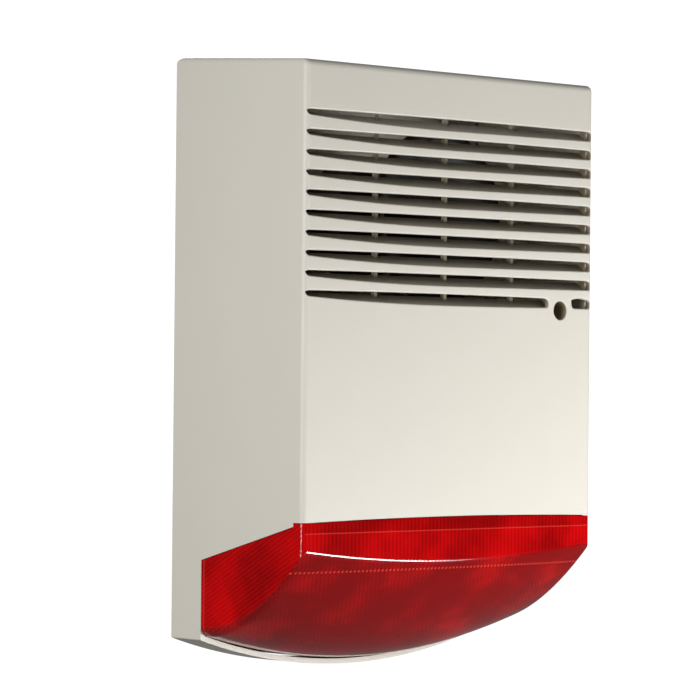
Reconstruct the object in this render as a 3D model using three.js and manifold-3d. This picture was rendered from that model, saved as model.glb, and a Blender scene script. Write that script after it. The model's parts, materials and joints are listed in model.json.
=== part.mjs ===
// Outdoor alarm siren with a strobe: a wall-mounted back plate carries the horn, the battery, the
// control board and the flash tube, and a louvred cover with a red lens swings up on two hinge pins.
// Millimetres. X to the right, Z up, the wall is the plane Y = 0 and the front faces -Y.

import * as THREE from 'three';
import { mergeVertices } from 'three/addons/utils/BufferGeometryUtils.js';
import Module from 'manifold-3d';

const wasm = await Module();
wasm.setup();

// ---------------------------------------------------------------- driving dimensions

const WIDTH = 200;
const HEIGHT = 301;
const DEPTH = 95;
const ROOF_FALL = 6; // the roof drops this much from the wall to the front
const BOTTOM_BOW = 16; // the bottom edge sags this much between its corners

const COVER_WALL = 2.6;
const WALL_GAP = 0.5; // between the wall and the cover's back edge
const FIT = 0.3; // between pieces that rest on each other
const RUN = 0.8; // between the cover and the plate's rim

const HINGE_RADIUS = 5.2; // the cover's top back edge is rounded about the hinge axis
const FRONT_EDGE_RADIUS = 3;
const FRONT_TOP_RADIUS = 3.5;
const ROOF_EDGE_RADIUS = 2;

const SLOT_COUNT = 10;
const SLOT_PITCH = 9.54;
const SLOT_HEIGHT = 4.6;
const SLOT_CROWN = 1.1; // a slot is this much taller in the middle than near its ends
const SLOT_DROP = 26; // first slot below the front's top edge
const SLOT_END_GAP = 1.4; // from the cover's side to a slot's end
const FIN_THICKNESS = 1.5;
const FIN_DEPTH = 5.5;
const FIN_RISE = 4.6;
const RIB_SPACING = 47.3;
const RIB_THICKNESS = 2;
const RIB_STEP = 0.6; // the ribs stand this far behind the fins
const RIB_DEPTH = 2.1; // front to back, across the fins' inner edges

const WELL_INSET = 23.7; // the screw well's centre, from the cover's side
const WELL_DROP = 3.7; // and below the last slot's centre line
const WELL_RADIUS = 4.75;
const WELL_WALL = 2.2;
const WELL_DEPTH = 40;
const LAND_HALF = 10; // plain stretch of the last slot around the screw well

const LENS_RISE = 75.5; // the parting line's front corners above the lowest point
const LENS_TOP_BOW = 1.5;
const LENS_SIDE_FALL = 20.4; // the parting line drops this much towards the wall
const LENS_BACK = 22.5; // the lens stops this far from the wall
const LENS_BAND = 14.3; // height of the upright front band at the corners
const LENS_CREASE_BOW = 6.7;
const LENS_WALL = 2.4;
const LENS_HEEL_STEP = 2.8; // the cover's bottom strip stands this far below the lens
const LENS_HEEL_BOW = 15.3;
const LENS_EDGE_RADIUS = 4;
const LENS_SEAM = 0.35;
const TONGUE = 5; // the lens reaches this far behind the cover's edge
const TONGUE_WALL = 1.8;

const PLATE = 3;
const RIM_DEPTH = 11;
const RIM_WALL = 2;

const PIN_RADIUS = 1;
const EAR_WIDTH = 4;
const KNUCKLE_WIDTH = 10;
const HINGE_INSET = 28; // a knuckle's middle, from the cover's side

const SEAT_RADIUS = 8;
const SEAT_HEIGHT = 2;
const WALL_SCREW_RADIUS = 2.6;
const WALL_SCREW_INSET = 20; // from the sides
const WALL_SCREW_DROP = 32.5; // upper pair, below the top
const WALL_SCREW_RISE = 38.5; // lower pair, above the lowest point

const CABLE_HOLE = 11;
const CABLE_DROP = 128.5; // below the top
const CABLE_BORE = 4.5;

const HORN_DROP = 76.5; // the horn's axis, below the top
const HORN_MOUTH = 41;
const HORN_THROAT = 7;
const HORN_WALL = 1.8;
const HORN_GAP = 2.9; // between the horn's mouth and the ribs of the louvres

const DRIVER_RADIUS = 28;
const DRIVER_LENGTH = 24;
const DRIVER_WALL = 1.8;
const POLE_RADIUS = 8;
const BRACKET_T = 1.5;
const BRACKET_POST = 8;
const BRACKET_X = 36;

const BOARD_SIDE_GAP = 6.6; // from the plate's rim
const BOARD_RISE = 114.5; // the board's middle above the lowest point
const BOARD_W = 82;
const BOARD_H = 76;
const BOARD_T = 1.6;
const STANDOFF = 6;
const BOARD_INSET = 4.5;

const BATTERY_W = 43;
const BATTERY_H = 97;
const BATTERY_D = 52;
const BATTERY_SIDE_GAP = 20.4; // from the cover's wall
const BATTERY_RISE = 115; // the battery's middle above the lowest point
const STRAP_T = 1.2;
const STRAP_W = 16;

const STROBE_RISE = 42.5; // the tube's line above the lowest point
const STROBE_FRONT_GAP = 59.5; // from the cover's front back to the posts
const STROBE_POST_X = 38;
const STROBE_W = 92;
const STROBE_H = 30;
const REFLECTOR_W = 56;
const TUBE_RADIUS = 2.4;

const SMALL_SCREW = 1.35; // shank radius of the board screws
const BRACKET_SCREW = 1.6;
const LEAD_RADIUS = 0.9;
const ROUND = 18; // sides of a plain round

const LENS_SCREW_INSET = 30; // the outer lens screws, from the sides
const LENS_SCREW_RISE = 12.5; // above the parting line's front corners
const LENS_BOSS = 6.4;
const BOSS_RADIUS = 4;
const TAB = 2;
const TAB_HALF = 6;
const TAB_RISE = 5; // a tab stands this far above its screw

const LOCK_POST_RADIUS = 6;
const LOCK_HEAD = 3.9;
const LOCK_SHANK = 1.9;
const LOCK_BITE = 5;
const GUSSET_HALF = 1.2;

const TAMPER_TIP = -33; // front end of the pressed tamper plunger
const TAMPER_POST = 3.4;
const TAMPER_WEB = 9;
const WEB_DEPTH = 35;
const COIL_WIRE = 0.35;
const FRONT_STEM = 1.6;
const WALL_TAMPER_DROP = 88.5; // below the top
const WALL_TAMPER_INSET = 20;
const WALL_TAMPER_RADIUS = 2.6;
const WALL_STEM = 1.3;
const WALL_SWITCH_FACE = -11.7;
const WALL_SWITCH_SPAN = 8;
const WALL_COLLAR = -8;
const COLLAR_RADIUS = 4;

const STRAP_FOOT = 10;
const STRAP_POST = 6;
const STRAP_HOLE = 4.4; // from a foot's toe to its screw
const CRADLE_GAP = 0.8;
const CRADLE_WALL = 2;
const CHEEK_DEPTH = 13;
const CHEEK_INSET = 8;
const SHELF_DEPTH = 19;

// Parts on the control board: middle across and up from the board's own, width, height and how
// far they stand off it.
const TAMPER_SWITCH = { x: -32.75, z: 24, w: 9.5, h: 10, d: 11 };
const TAMPER_PLACE = { x: -33, z: 24 };
const TERMINALS = { x: 1, z: 25.5, w: 40, h: 8, d: 10 };
const RELAY = { x: -27.5, z: -20.5, w: 15, h: 19, d: 15 };
const CAPACITOR = { x: 27, z: -22, radius: 6.5, d: 20 };
const TRANSFORMER_CORE = { x: 1, z: -19, w: 20, h: 18, d: 13 };
const TRANSFORMER_BOBBIN = { x: 1, z: -19, w: 14, h: 12, d: 16 };
const CHIP = { x: 2.4, z: 6, w: 18.8, h: 6.6, d: 3.8 };
const CHIP_LEGS = 14;
const HEADER = { x: 26.8, z: 6, w: 10.2, h: 2.6, d: 2.5 };
const JUMPER = { x: 24.25, z: 6, w: 4.9, h: 2.4, d: 8.6 };
const HEADER_PINS = 4;
const PIN_PITCH = 2.54;
const SOCKET = { x: -17, z: -33, w: 8, h: 6, d: 7 };
const TERMINAL_WAYS = 8;
const TERMINAL_PITCH = 5;

// ---------------------------------------------------------------- derived places

const HALF = WIDTH / 2;
const Z_TOP = HEIGHT / 2;
const Z_BOTTOM = -HEIGHT / 2;
const FRONT = -DEPTH;
const INNER_FRONT = FRONT + COVER_WALL;
const ROOF_SLOPE = ROOF_FALL / (DEPTH - WALL_GAP);
const BOTTOM_R = (HALF ** 2 + BOTTOM_BOW ** 2) / (2 * BOTTOM_BOW);
const HINGE_Y = -(WALL_GAP + HINGE_RADIUS);
const HINGE_Z = roofZ(HINGE_Y) - HINGE_RADIUS * Math.hypot(1, ROOF_SLOPE);
const EAR_RADIUS = HINGE_RADIUS - COVER_WALL - FIT;
const PLATE_TOP = HINGE_Z - HINGE_RADIUS - FIT;
const SLOT_TOP_Z = roofZ(FRONT) - SLOT_DROP;
const WELL_X = HALF - WELL_INSET;
const WELL_Z = SLOT_TOP_Z - SLOT_PITCH * (SLOT_COUNT - 1) - WELL_DROP;
const WELL_FLOOR = FRONT + WELL_DEPTH;
const LENS_TOP = Z_BOTTOM + LENS_RISE;
const LENS_SCREW_Z = LENS_TOP + LENS_SCREW_RISE;
const LENS_SCREW_X = [LENS_SCREW_INSET - HALF, 0, HALF - LENS_SCREW_INSET];
const HINGE_X = HALF - HINGE_INSET;
const CABLE_Z = Z_TOP - CABLE_DROP;
const HORN_Z = Z_TOP - HORN_DROP;
const BOARD_X = BOARD_W / 2 + BOARD_SIDE_GAP + RIM_WALL + RUN + COVER_WALL - HALF;
const BOARD_Z = Z_BOTTOM + BOARD_RISE;
const BOARD_FACE = -(PLATE + STANDOFF + FIT + BOARD_T);
const PARTS_FACE = BOARD_FACE - FIT; // back of what stands on the board
const BATTERY_X = HALF - COVER_WALL - BATTERY_SIDE_GAP - BATTERY_W / 2;
const BATTERY_Z = Z_BOTTOM + BATTERY_RISE;
const STROBE_Z = Z_BOTTOM + STROBE_RISE;
const STROBE_POST = DEPTH - STROBE_FRONT_GAP - PLATE;
const TAMPER_X = BOARD_X + TAMPER_PLACE.x;
const TAMPER_Z = BOARD_Z + TAMPER_PLACE.z;
const WALL_TAMPER_X = WALL_TAMPER_INSET - HALF;
const WALL_TAMPER_Z = Z_TOP - WALL_TAMPER_DROP;
const FAR = 400; // beyond every face

const bow = (x) => 1 - (x / HALF) ** 2;

function roofZ(y) {
  return Z_TOP + ROOF_SLOPE * (y + WALL_GAP);
}

// ---------------------------------------------------------------- solids

// A closed geometry as a solid that can be cut and joined.
function solid(geometry) {
  const bare = geometry.clone();
  bare.deleteAttribute('normal');
  bare.deleteAttribute('uv');
  const merged = mergeVertices(bare, 1e-4);
  const index = merged.index.array;
  const kept = [];
  for (let i = 0; i < index.length; i += 3) {
    const [a, b, c] = [index[i], index[i + 1], index[i + 2]];
    if (a !== b && b !== c && c !== a) kept.push(a, b, c);
  }
  const vertProperties = new Float32Array(merged.attributes.position.array);
  const triVerts = new Uint32Array(kept);
  return new wasm.Manifold(new wasm.Mesh({ numProp: 3, vertProperties, triVerts }));
}

const join = (...bodies) => bodies.reduce((whole, next) => whole.add(next));
const cut = (body, ...tools) => tools.reduce((rest, tool) => rest.subtract(tool), body);
const common = (...bodies) => bodies.reduce((whole, next) => whole.intersect(next));
const many = (count, make) => Array.from({ length: count }, (_, i) => make(i));

const X = new THREE.Vector3(1, 0, 0);
const Y = new THREE.Vector3(0, 1, 0);
const Z = new THREE.Vector3(0, 0, 1);

function extruded(shape, length, curveSegments) {
  return new THREE.ExtrudeGeometry(shape, { depth: length, bevelEnabled: false, curveSegments });
}

// An outline drawn in (Y, Z), run from x0 to x1.
function alongX(shape, x0, x1, smooth = 8) {
  const turn = new THREE.Matrix4().makeBasis(Y, Z, X);
  return solid(extruded(shape, x1 - x0, smooth).applyMatrix4(turn).translate(x0, 0, 0));
}

// An outline drawn in (X, Z), run from y0 to y1.
function alongY(shape, y0, y1, smooth = 8) {
  const turn = new THREE.Matrix4().makeBasis(X, Z, Y.clone().negate());
  return solid(extruded(shape, y1 - y0, smooth).applyMatrix4(turn).translate(0, y1, 0));
}

// An outline drawn in (X, Y), run from z0 to z1.
function alongZ(shape, z0, z1, smooth = 8) {
  return solid(extruded(shape, z1 - z0, smooth).translate(0, 0, z0));
}

function block(x0, x1, y0, y1, z0, z1) {
  const box = new THREE.BoxGeometry(x1 - x0, y1 - y0, z1 - z0);
  return solid(box.translate((x0 + x1) / 2, (y0 + y1) / 2, (z0 + z1) / 2));
}

function rodX(radius, x0, x1, y, z, sides = ROUND) {
  const rod = new THREE.CylinderGeometry(radius, radius, x1 - x0, sides);
  return solid(rod.rotateZ(-Math.PI / 2).translate((x0 + x1) / 2, y, z));
}

// A round bar along Y; frontRadius is its radius at y0, the end nearer the front.
function rodY(radius, y0, y1, x, z, sides = ROUND, frontRadius = radius) {
  const rod = new THREE.CylinderGeometry(radius, frontRadius, y1 - y0, sides);
  return solid(rod.translate(x, (y0 + y1) / 2, z));
}

// A profile of [radius, y] turned about a line along Y.
function turned(profile, x, z, sides = ROUND) {
  const points = profile.map(([r, y]) => new THREE.Vector2(r, y));
  return solid(new THREE.LatheGeometry(points, sides).translate(x, 0, z));
}

function outline(points) {
  return new THREE.Shape(points.map(([a, b]) => new THREE.Vector2(a, b)));
}

// A panhead screw driven towards +Y: its head's underside is at y, its tip at y + length.
function screw(x, y, z, shank, head, length) {
  const headHeight = head * 0.75;
  const body = join(
    rodY(head, y - headHeight, y, x, z, 12, head * 0.8),
    rodY(shank, y - headHeight / 2, y + length, x, z, 8),
  );
  const slot = head * 0.16;
  const reach = head * 0.6;
  const deep = y - headHeight * 0.45;
  return cut(
    body,
    block(x - reach, x + reach, y - FAR, deep, z - slot, z + slot),
    block(x - slot, x + slot, y - FAR, deep, z - reach, z + reach),
  );
}

// ---------------------------------------------------------------- front cover

// The cover's outer body, or the same body set in by a distance on every side.
function coverBody(inset, backY) {
  const front = FRONT + inset;
  const roof = (y) => roofZ(y) - inset;
  const topRound = Math.max(FRONT_TOP_RADIUS - inset, 0.6);
  const side = new THREE.Shape();
  side.moveTo(front, -FAR);
  side.lineTo(backY, -FAR);
  if (inset === 0) {
    side.lineTo(backY, HINGE_Z);
    side.absarc(HINGE_Y, HINGE_Z, HINGE_RADIUS, 0, Math.PI / 2 + Math.atan(ROOF_SLOPE));
  } else {
    side.lineTo(backY, roof(backY));
  }
  side.lineTo(front + topRound, roof(front + topRound));
  side.quadraticCurveTo(front, roof(front), front, roof(front) - topRound);

  const half = HALF - inset;
  const edge = Math.max(ROOF_EDGE_RADIUS - inset, 0.4);
  const gable = new THREE.Shape();
  gable.moveTo(-half, -FAR);
  gable.lineTo(half, -FAR);
  gable.lineTo(half, -inset - edge);
  gable.quadraticCurveTo(half, -inset, half - edge, -inset);
  gable.lineTo(-half + edge, -inset);
  gable.quadraticCurveTo(-half, -inset, -half, -inset - edge);
  const shear = new THREE.Matrix4().set(1, 0, 0, 0, 0, 1, 0, 0, 0, ROOF_SLOPE, 1, 0, 0, 0, 0, 1);
  const turn = new THREE.Matrix4().makeBasis(X, Z, Y.clone().negate());
  const gableRun = extruded(gable, 2 * DEPTH, 3).applyMatrix4(turn).translate(0, DEPTH / 2, 0);
  const roofed = solid(gableRun.applyMatrix4(shear).translate(0, 0, roofZ(0)));

  const corner = Math.max(FRONT_EDGE_RADIUS - inset, 0.5);
  const plan = new THREE.Shape();
  plan.moveTo(half, FAR);
  plan.lineTo(-half, FAR);
  plan.lineTo(-half, front + corner);
  plan.quadraticCurveTo(-half, front, -half + corner, front);
  plan.lineTo(half - corner, front);
  plan.quadraticCurveTo(half, front, half, front + corner);

  return common(
    alongX(side, -HALF, HALF, 5),
    roofed,
    alongZ(plan, -FAR, FAR, 3),
    alongY(bottomOutline(inset), -FAR, FAR, 16),
  );
}

// Everything above the bowed bottom edge.
function bottomOutline(inset) {
  const radius = BOTTOM_R - inset;
  const half = HALF - inset;
  const reach = Math.asin(half / radius);
  const shape = new THREE.Shape();
  shape.absarc(0, Z_BOTTOM + BOTTOM_R, radius, -Math.PI / 2 - reach, -Math.PI / 2 + reach);
  shape.lineTo(half, FAR);
  shape.lineTo(-half, FAR);
  return shape;
}

// The room that the lens takes out of the cover, grown by a distance across the parting line.
function lensRoom(grow) {
  const run = DEPTH - LENS_BACK;
  const fall = LENS_SIDE_FALL / run;
  const side = outline([
    [FRONT - 10, LENS_TOP + fall * 10 + grow],
    [-LENS_BACK + grow, LENS_TOP - LENS_SIDE_FALL + grow - fall * grow],
    [-LENS_BACK + grow, -FAR],
    [FRONT - 10, -FAR],
  ]);
  const crown = new THREE.Shape();
  crown.moveTo(HALF + 1, LENS_TOP + grow - 2);
  crown.lineTo(HALF + 1, LENS_TOP + grow);
  crown.lineTo(HALF, LENS_TOP + grow);
  crown.quadraticCurveTo(0, LENS_TOP + 2 * LENS_TOP_BOW + grow, -HALF, LENS_TOP + grow);
  crown.lineTo(-HALF - 1, LENS_TOP + grow);
  crown.lineTo(-HALF - 1, LENS_TOP + grow - 2);
  return join(alongX(side, -HALF - 1, HALF + 1), alongY(crown, FRONT - 10, INNER_FRONT + 4, 8));
}

// One slot's outline: its edges bow apart towards the middle and its ends draw to a point.
function slotShape(x0, x1, z, pointed) {
  const half = SLOT_HEIGHT / 2;
  const swell = SLOT_CROWN / 2;
  const nose = 2;
  const shape = new THREE.Shape();
  shape.moveTo(x0, z + half * 0.6);
  if (pointed) {
    shape.quadraticCurveTo(x0 + 3 * nose, z - half, x0 + 7 * nose, z - half);
  } else {
    shape.quadraticCurveTo(x0, z - half, x0 + nose, z - half);
  }
  shape.quadraticCurveTo((x0 + x1) / 2, z - half - 2 * swell, x1 - nose, z - half);
  shape.quadraticCurveTo(x1, z - half, x1, z - half * 0.3);
  shape.quadraticCurveTo(x1, z + half, x1 - 2 * nose, z + half);
  shape.quadraticCurveTo((x0 + x1) / 2, z + half + 2 * swell, x0 + nose, z + half);
  return shape;
}

function slotCuts() {
  const left = -HALF + SLOT_END_GAP;
  const right = HALF - SLOT_END_GAP;
  const depth = [FRONT - 1, INNER_FRONT + 0.2];
  const cuts = many(SLOT_COUNT - 1, (i) => {
    return alongY(slotShape(left, right, SLOT_TOP_Z - i * SLOT_PITCH, true), ...depth, 2);
  });
  const last = SLOT_TOP_Z - (SLOT_COUNT - 1) * SLOT_PITCH;
  cuts.push(alongY(slotShape(left, WELL_X - LAND_HALF, last, true), ...depth, 2));
  cuts.push(alongY(slotShape(WELL_X + LAND_HALF, right, last, false), ...depth, 2));
  return cuts;
}

// Sloping fins behind the slots, which keep rain out, and the upright ribs that carry them.
function fins() {
  const reach = HALF - COVER_WALL - FIT;
  const inside = INNER_FRONT + FIN_DEPTH;
  const low = SLOT_TOP_Z - (SLOT_COUNT - 1) * SLOT_PITCH - SLOT_HEIGHT;
  const finBars = many(SLOT_COUNT, (i) => {
    const foot = SLOT_TOP_Z - i * SLOT_PITCH - SLOT_HEIGHT / 2 - 0.9;
    const profile = outline([
      [INNER_FRONT - 0.5, foot - FIN_THICKNESS],
      [inside, foot + FIN_RISE - FIN_THICKNESS],
      [inside, foot + FIN_RISE],
      [INNER_FRONT - 0.5, foot],
    ]);
    const right = i === SLOT_COUNT - 1 ? WELL_X - WELL_RADIUS - WELL_WALL / 2 : reach;
    return alongX(profile, -reach, right);
  });
  const ribs = [-RIB_SPACING, 0, RIB_SPACING].map((x) => {
    const half = RIB_THICKNESS / 2;
    const high = SLOT_TOP_Z + SLOT_HEIGHT;
    const back = inside + RIB_STEP;
    return block(x - half, x + half, back - RIB_DEPTH, back, low, high);
  });
  return [...finBars, ...ribs];
}

function pinBore(x, width, clearance) {
  return rodX(PIN_RADIUS + clearance, x - width / 2 - 1, x + width / 2 + 1, HINGE_Y, HINGE_Z, 12);
}

// A knuckle hangs from the roof and turns on the hinge pin.
function knuckle(x) {
  const radius = HINGE_RADIUS - COVER_WALL + 0.2;
  const x0 = x - KNUCKLE_WIDTH / 2;
  const x1 = x + KNUCKLE_WIDTH / 2;
  return join(
    rodX(radius, x0, x1, HINGE_Y, HINGE_Z, 14),
    block(x0, x1, HINGE_Y - radius, HINGE_Y + radius, HINGE_Z, roofZ(HINGE_Y) - 1),
  );
}


function frontCover() {
  const shell = cut(coverBody(0, -WALL_GAP), coverBody(COVER_WALL, 10), lensRoom(0));
  const wellOuter = WELL_RADIUS + WELL_WALL;
  const additions = [
    ...fins(),
    knuckle(-HINGE_X),
    knuckle(HINGE_X),
    rodY(wellOuter, FRONT + 1, WELL_FLOOR + COVER_WALL, WELL_X, WELL_Z),
    rodY(TAMPER_POST, FRONT + 1, TAMPER_TIP - FIT, TAMPER_X, TAMPER_Z, 16),
    block(TAMPER_X - 1, TAMPER_X + 1, FRONT + 1, FRONT + WEB_DEPTH, TAMPER_Z - TAMPER_WEB,
      TAMPER_Z + TAMPER_WEB),
    ...LENS_SCREW_X.map((x) => rodY(BOSS_RADIUS, FRONT + 1, INNER_FRONT + LENS_BOSS, x, LENS_SCREW_Z, 16)),
  ];
  const bores = [
    ...[-HINGE_X, HINGE_X].map((x) => pinBore(x, KNUCKLE_WIDTH, FIT)),
    rodY(WELL_RADIUS, FRONT - 1, WELL_FLOOR, WELL_X, WELL_Z),
    rodY(LOCK_SHANK + 0.5, FRONT, WELL_FLOOR + FAR, WELL_X, WELL_Z, 16),
    ...LENS_SCREW_X.map((x) => rodY(SMALL_SCREW + 0.35, INNER_FRONT + 1, 0, x, LENS_SCREW_Z, 12)),
  ];
  return cut(join(cut(shell, ...slotCuts()), ...additions), ...bores);
}

// ---------------------------------------------------------------- strobe lens

// The lens's underside falls steeply from the crease and flattens towards the wall.
const UNDERSIDE = [[0, 0], [0.21, 0.45], [0.57, 1.0], [1, 1]];

function undersidePoint(t) {
  const weights = [(1 - t) ** 3, 3 * t * (1 - t) ** 2, 3 * t * t * (1 - t), t ** 3];
  const mix = (k) => weights.reduce((sum, w, i) => sum + w * UNDERSIDE[i][k], 0);
  return [mix(0), mix(1)];
}

function undersideZ(x, fall) {
  const crease = LENS_TOP - LENS_BAND - LENS_CREASE_BOW * bow(x);
  const heel = Z_BOTTOM + BOTTOM_BOW + LENS_HEEL_STEP - LENS_HEEL_BOW * bow(x);
  const past = Math.max(Math.abs(x) - (HALF - LENS_EDGE_RADIUS), 0);
  const lift = LENS_EDGE_RADIUS - Math.sqrt(Math.max(LENS_EDGE_RADIUS ** 2 - past ** 2, 0));
  return crease + (heel - crease) * fall + lift * fall;
}

// Everything above the underside, raised by a distance.
function aboveUnderside(raise) {
  const columns = 18;
  const rows = 9;
  const corners = [];
  const faces = [];
  for (let j = 0; j <= rows; j += 1) {
    const [along, fall] = undersidePoint(j / rows);
    const y = FRONT + (DEPTH - LENS_BACK) * along;
    const back = j === rows ? TONGUE + 3 : 0;
    const front = j === 0 ? 3 : 0;
    for (let i = 0; i <= columns; i += 1) {
      const x = HALF * Math.sin((Math.PI / 2) * ((2 * i) / columns - 1));
      corners.push(x, y + back - front, undersideZ(x, fall) + raise, x, y + back - front, 0);
    }
  }
  const low = (i, j) => 2 * (j * (columns + 1) + i);
  const quad = (a, b, c, d) => faces.push(a, b, c, a, c, d);
  for (let j = 0; j < rows; j += 1) {
    for (let i = 0; i < columns; i += 1) {
      const ring = [low(i, j), low(i, j + 1), low(i + 1, j + 1), low(i + 1, j)];
      quad(...ring);
      quad(...ring.map((n) => n + 1).reverse());
    }
  }
  const wall = (a, b) => quad(a, b, b + 1, a + 1);
  for (let i = 0; i < columns; i += 1) {
    wall(low(i, 0), low(i + 1, 0));
    wall(low(i + 1, rows), low(i, rows));
  }
  for (let j = 0; j < rows; j += 1) {
    wall(low(columns, j), low(columns, j + 1));
    wall(low(0, j + 1), low(0, j));
  }
  const geometry = new THREE.BufferGeometry();
  geometry.setAttribute('position', new THREE.BufferAttribute(new Float32Array(corners), 3));
  geometry.setIndex(faces);
  return solid(geometry);
}

const TAB_FACE = INNER_FRONT + LENS_BOSS + FIT; // front of the lens's screw tabs

function strobeLens() {
  const room = lensRoom(-LENS_SEAM);
  const above = aboveUnderside(0);
  const outer = common(coverBody(0, -WALL_GAP), room, above);
  const hollow = common(coverBody(LENS_WALL, 10), aboveUnderside(LENS_WALL * 1.25));
  const tongueOut = COVER_WALL + FIT;
  const tongueIn = coverBody(tongueOut + TONGUE_WALL, 10);
  const edge = cut(lensRoom(TONGUE), lensRoom(-TONGUE));
  const rebate = cut(common(outer, edge), tongueIn);
  const tongue = cut(common(coverBody(tongueOut, -WALL_GAP), edge, above), tongueIn);
  const tabs = LENS_SCREW_X.map((x) => join(
    block(x - TAB_HALF, x + TAB_HALF, FRONT + tongueOut + 0.2, TAB_FACE + TAB, LENS_TOP - 3, LENS_TOP + 1.5),
    block(x - TAB_HALF, x + TAB_HALF, TAB_FACE, TAB_FACE + TAB, LENS_TOP - 3, LENS_SCREW_Z + TAB_RISE),
  ));
  const holes = LENS_SCREW_X.map((x) => rodY(1.8, TAB_FACE - 1, TAB_FACE + 3, x, LENS_SCREW_Z, 12));
  return cut(join(cut(outer, hollow), rebate, tongue, ...tabs), ...holes);
}

// ---------------------------------------------------------------- back plate

function plateOutline(inset) {
  const gap = COVER_WALL + RUN + inset;
  const radius = BOTTOM_R - gap;
  const half = HALF - gap;
  const reach = Math.asin(half / radius);
  const shape = new THREE.Shape();
  shape.absarc(0, Z_BOTTOM + BOTTOM_R, radius, -Math.PI / 2 - reach, -Math.PI / 2 + reach);
  shape.lineTo(half, PLATE_TOP - inset);
  shape.lineTo(-half, PLATE_TOP - inset);
  return shape;
}

// Two ears stand either side of a knuckle and hold the pin.
function ears(x) {
  const near = KNUCKLE_WIDTH / 2 + FIT;
  return [[x - near - EAR_WIDTH, x - near], [x + near, x + near + EAR_WIDTH]].map(([x0, x1]) => join(
    rodX(EAR_RADIUS, x0, x1, HINGE_Y, HINGE_Z, 14),
    block(x0, x1, HINGE_Y - EAR_RADIUS, HINGE_Y + EAR_RADIUS, PLATE_TOP - 8, HINGE_Z),
    block(x0, x1, HINGE_Y, -PLATE + 1, PLATE_TOP - 8, PLATE_TOP),
  ));
}

function boardCorners() {
  const dx = BOARD_W / 2 - BOARD_INSET;
  const dz = BOARD_H / 2 - BOARD_INSET;
  return [[-1, 1], [1, 1], [-1, -1], [1, -1]].map(([a, b]) => [BOARD_X + a * dx, BOARD_Z + b * dz]);
}

const wallScrews = [-1, 1].flatMap((side) => [
  [side * (HALF - WALL_SCREW_INSET), Z_TOP - WALL_SCREW_DROP],
  [side * (HALF - WALL_SCREW_INSET), Z_BOTTOM + WALL_SCREW_RISE],
]);

const LOCK_POST_TIP = WELL_FLOOR + COVER_WALL + FIT;

function cradle() {
  const left = BATTERY_X - BATTERY_W / 2 - CRADLE_GAP;
  const right = BATTERY_X + BATTERY_W / 2 + CRADLE_GAP;
  const low = BATTERY_Z - BATTERY_H / 2;
  const shelf = low - CRADLE_GAP;
  const foot = -PLATE + 1;
  const cheek = [-PLATE - CHEEK_DEPTH, foot, low + CHEEK_INSET, low + BATTERY_H - CHEEK_INSET];
  return [
    block(left - CRADLE_WALL, left, ...cheek),
    block(right, right + CRADLE_WALL, ...cheek),
    block(left + 3, right - 3, -PLATE - SHELF_DEPTH, foot, shelf - CRADLE_WALL, shelf),
  ];
}

function strapFeet() {
  const reach = BATTERY_W / 2 + CRADLE_GAP + CRADLE_WALL + CRADLE_GAP + STRAP_FOOT - STRAP_HOLE;
  return [BATTERY_X - reach, BATTERY_X + reach];
}

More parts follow.
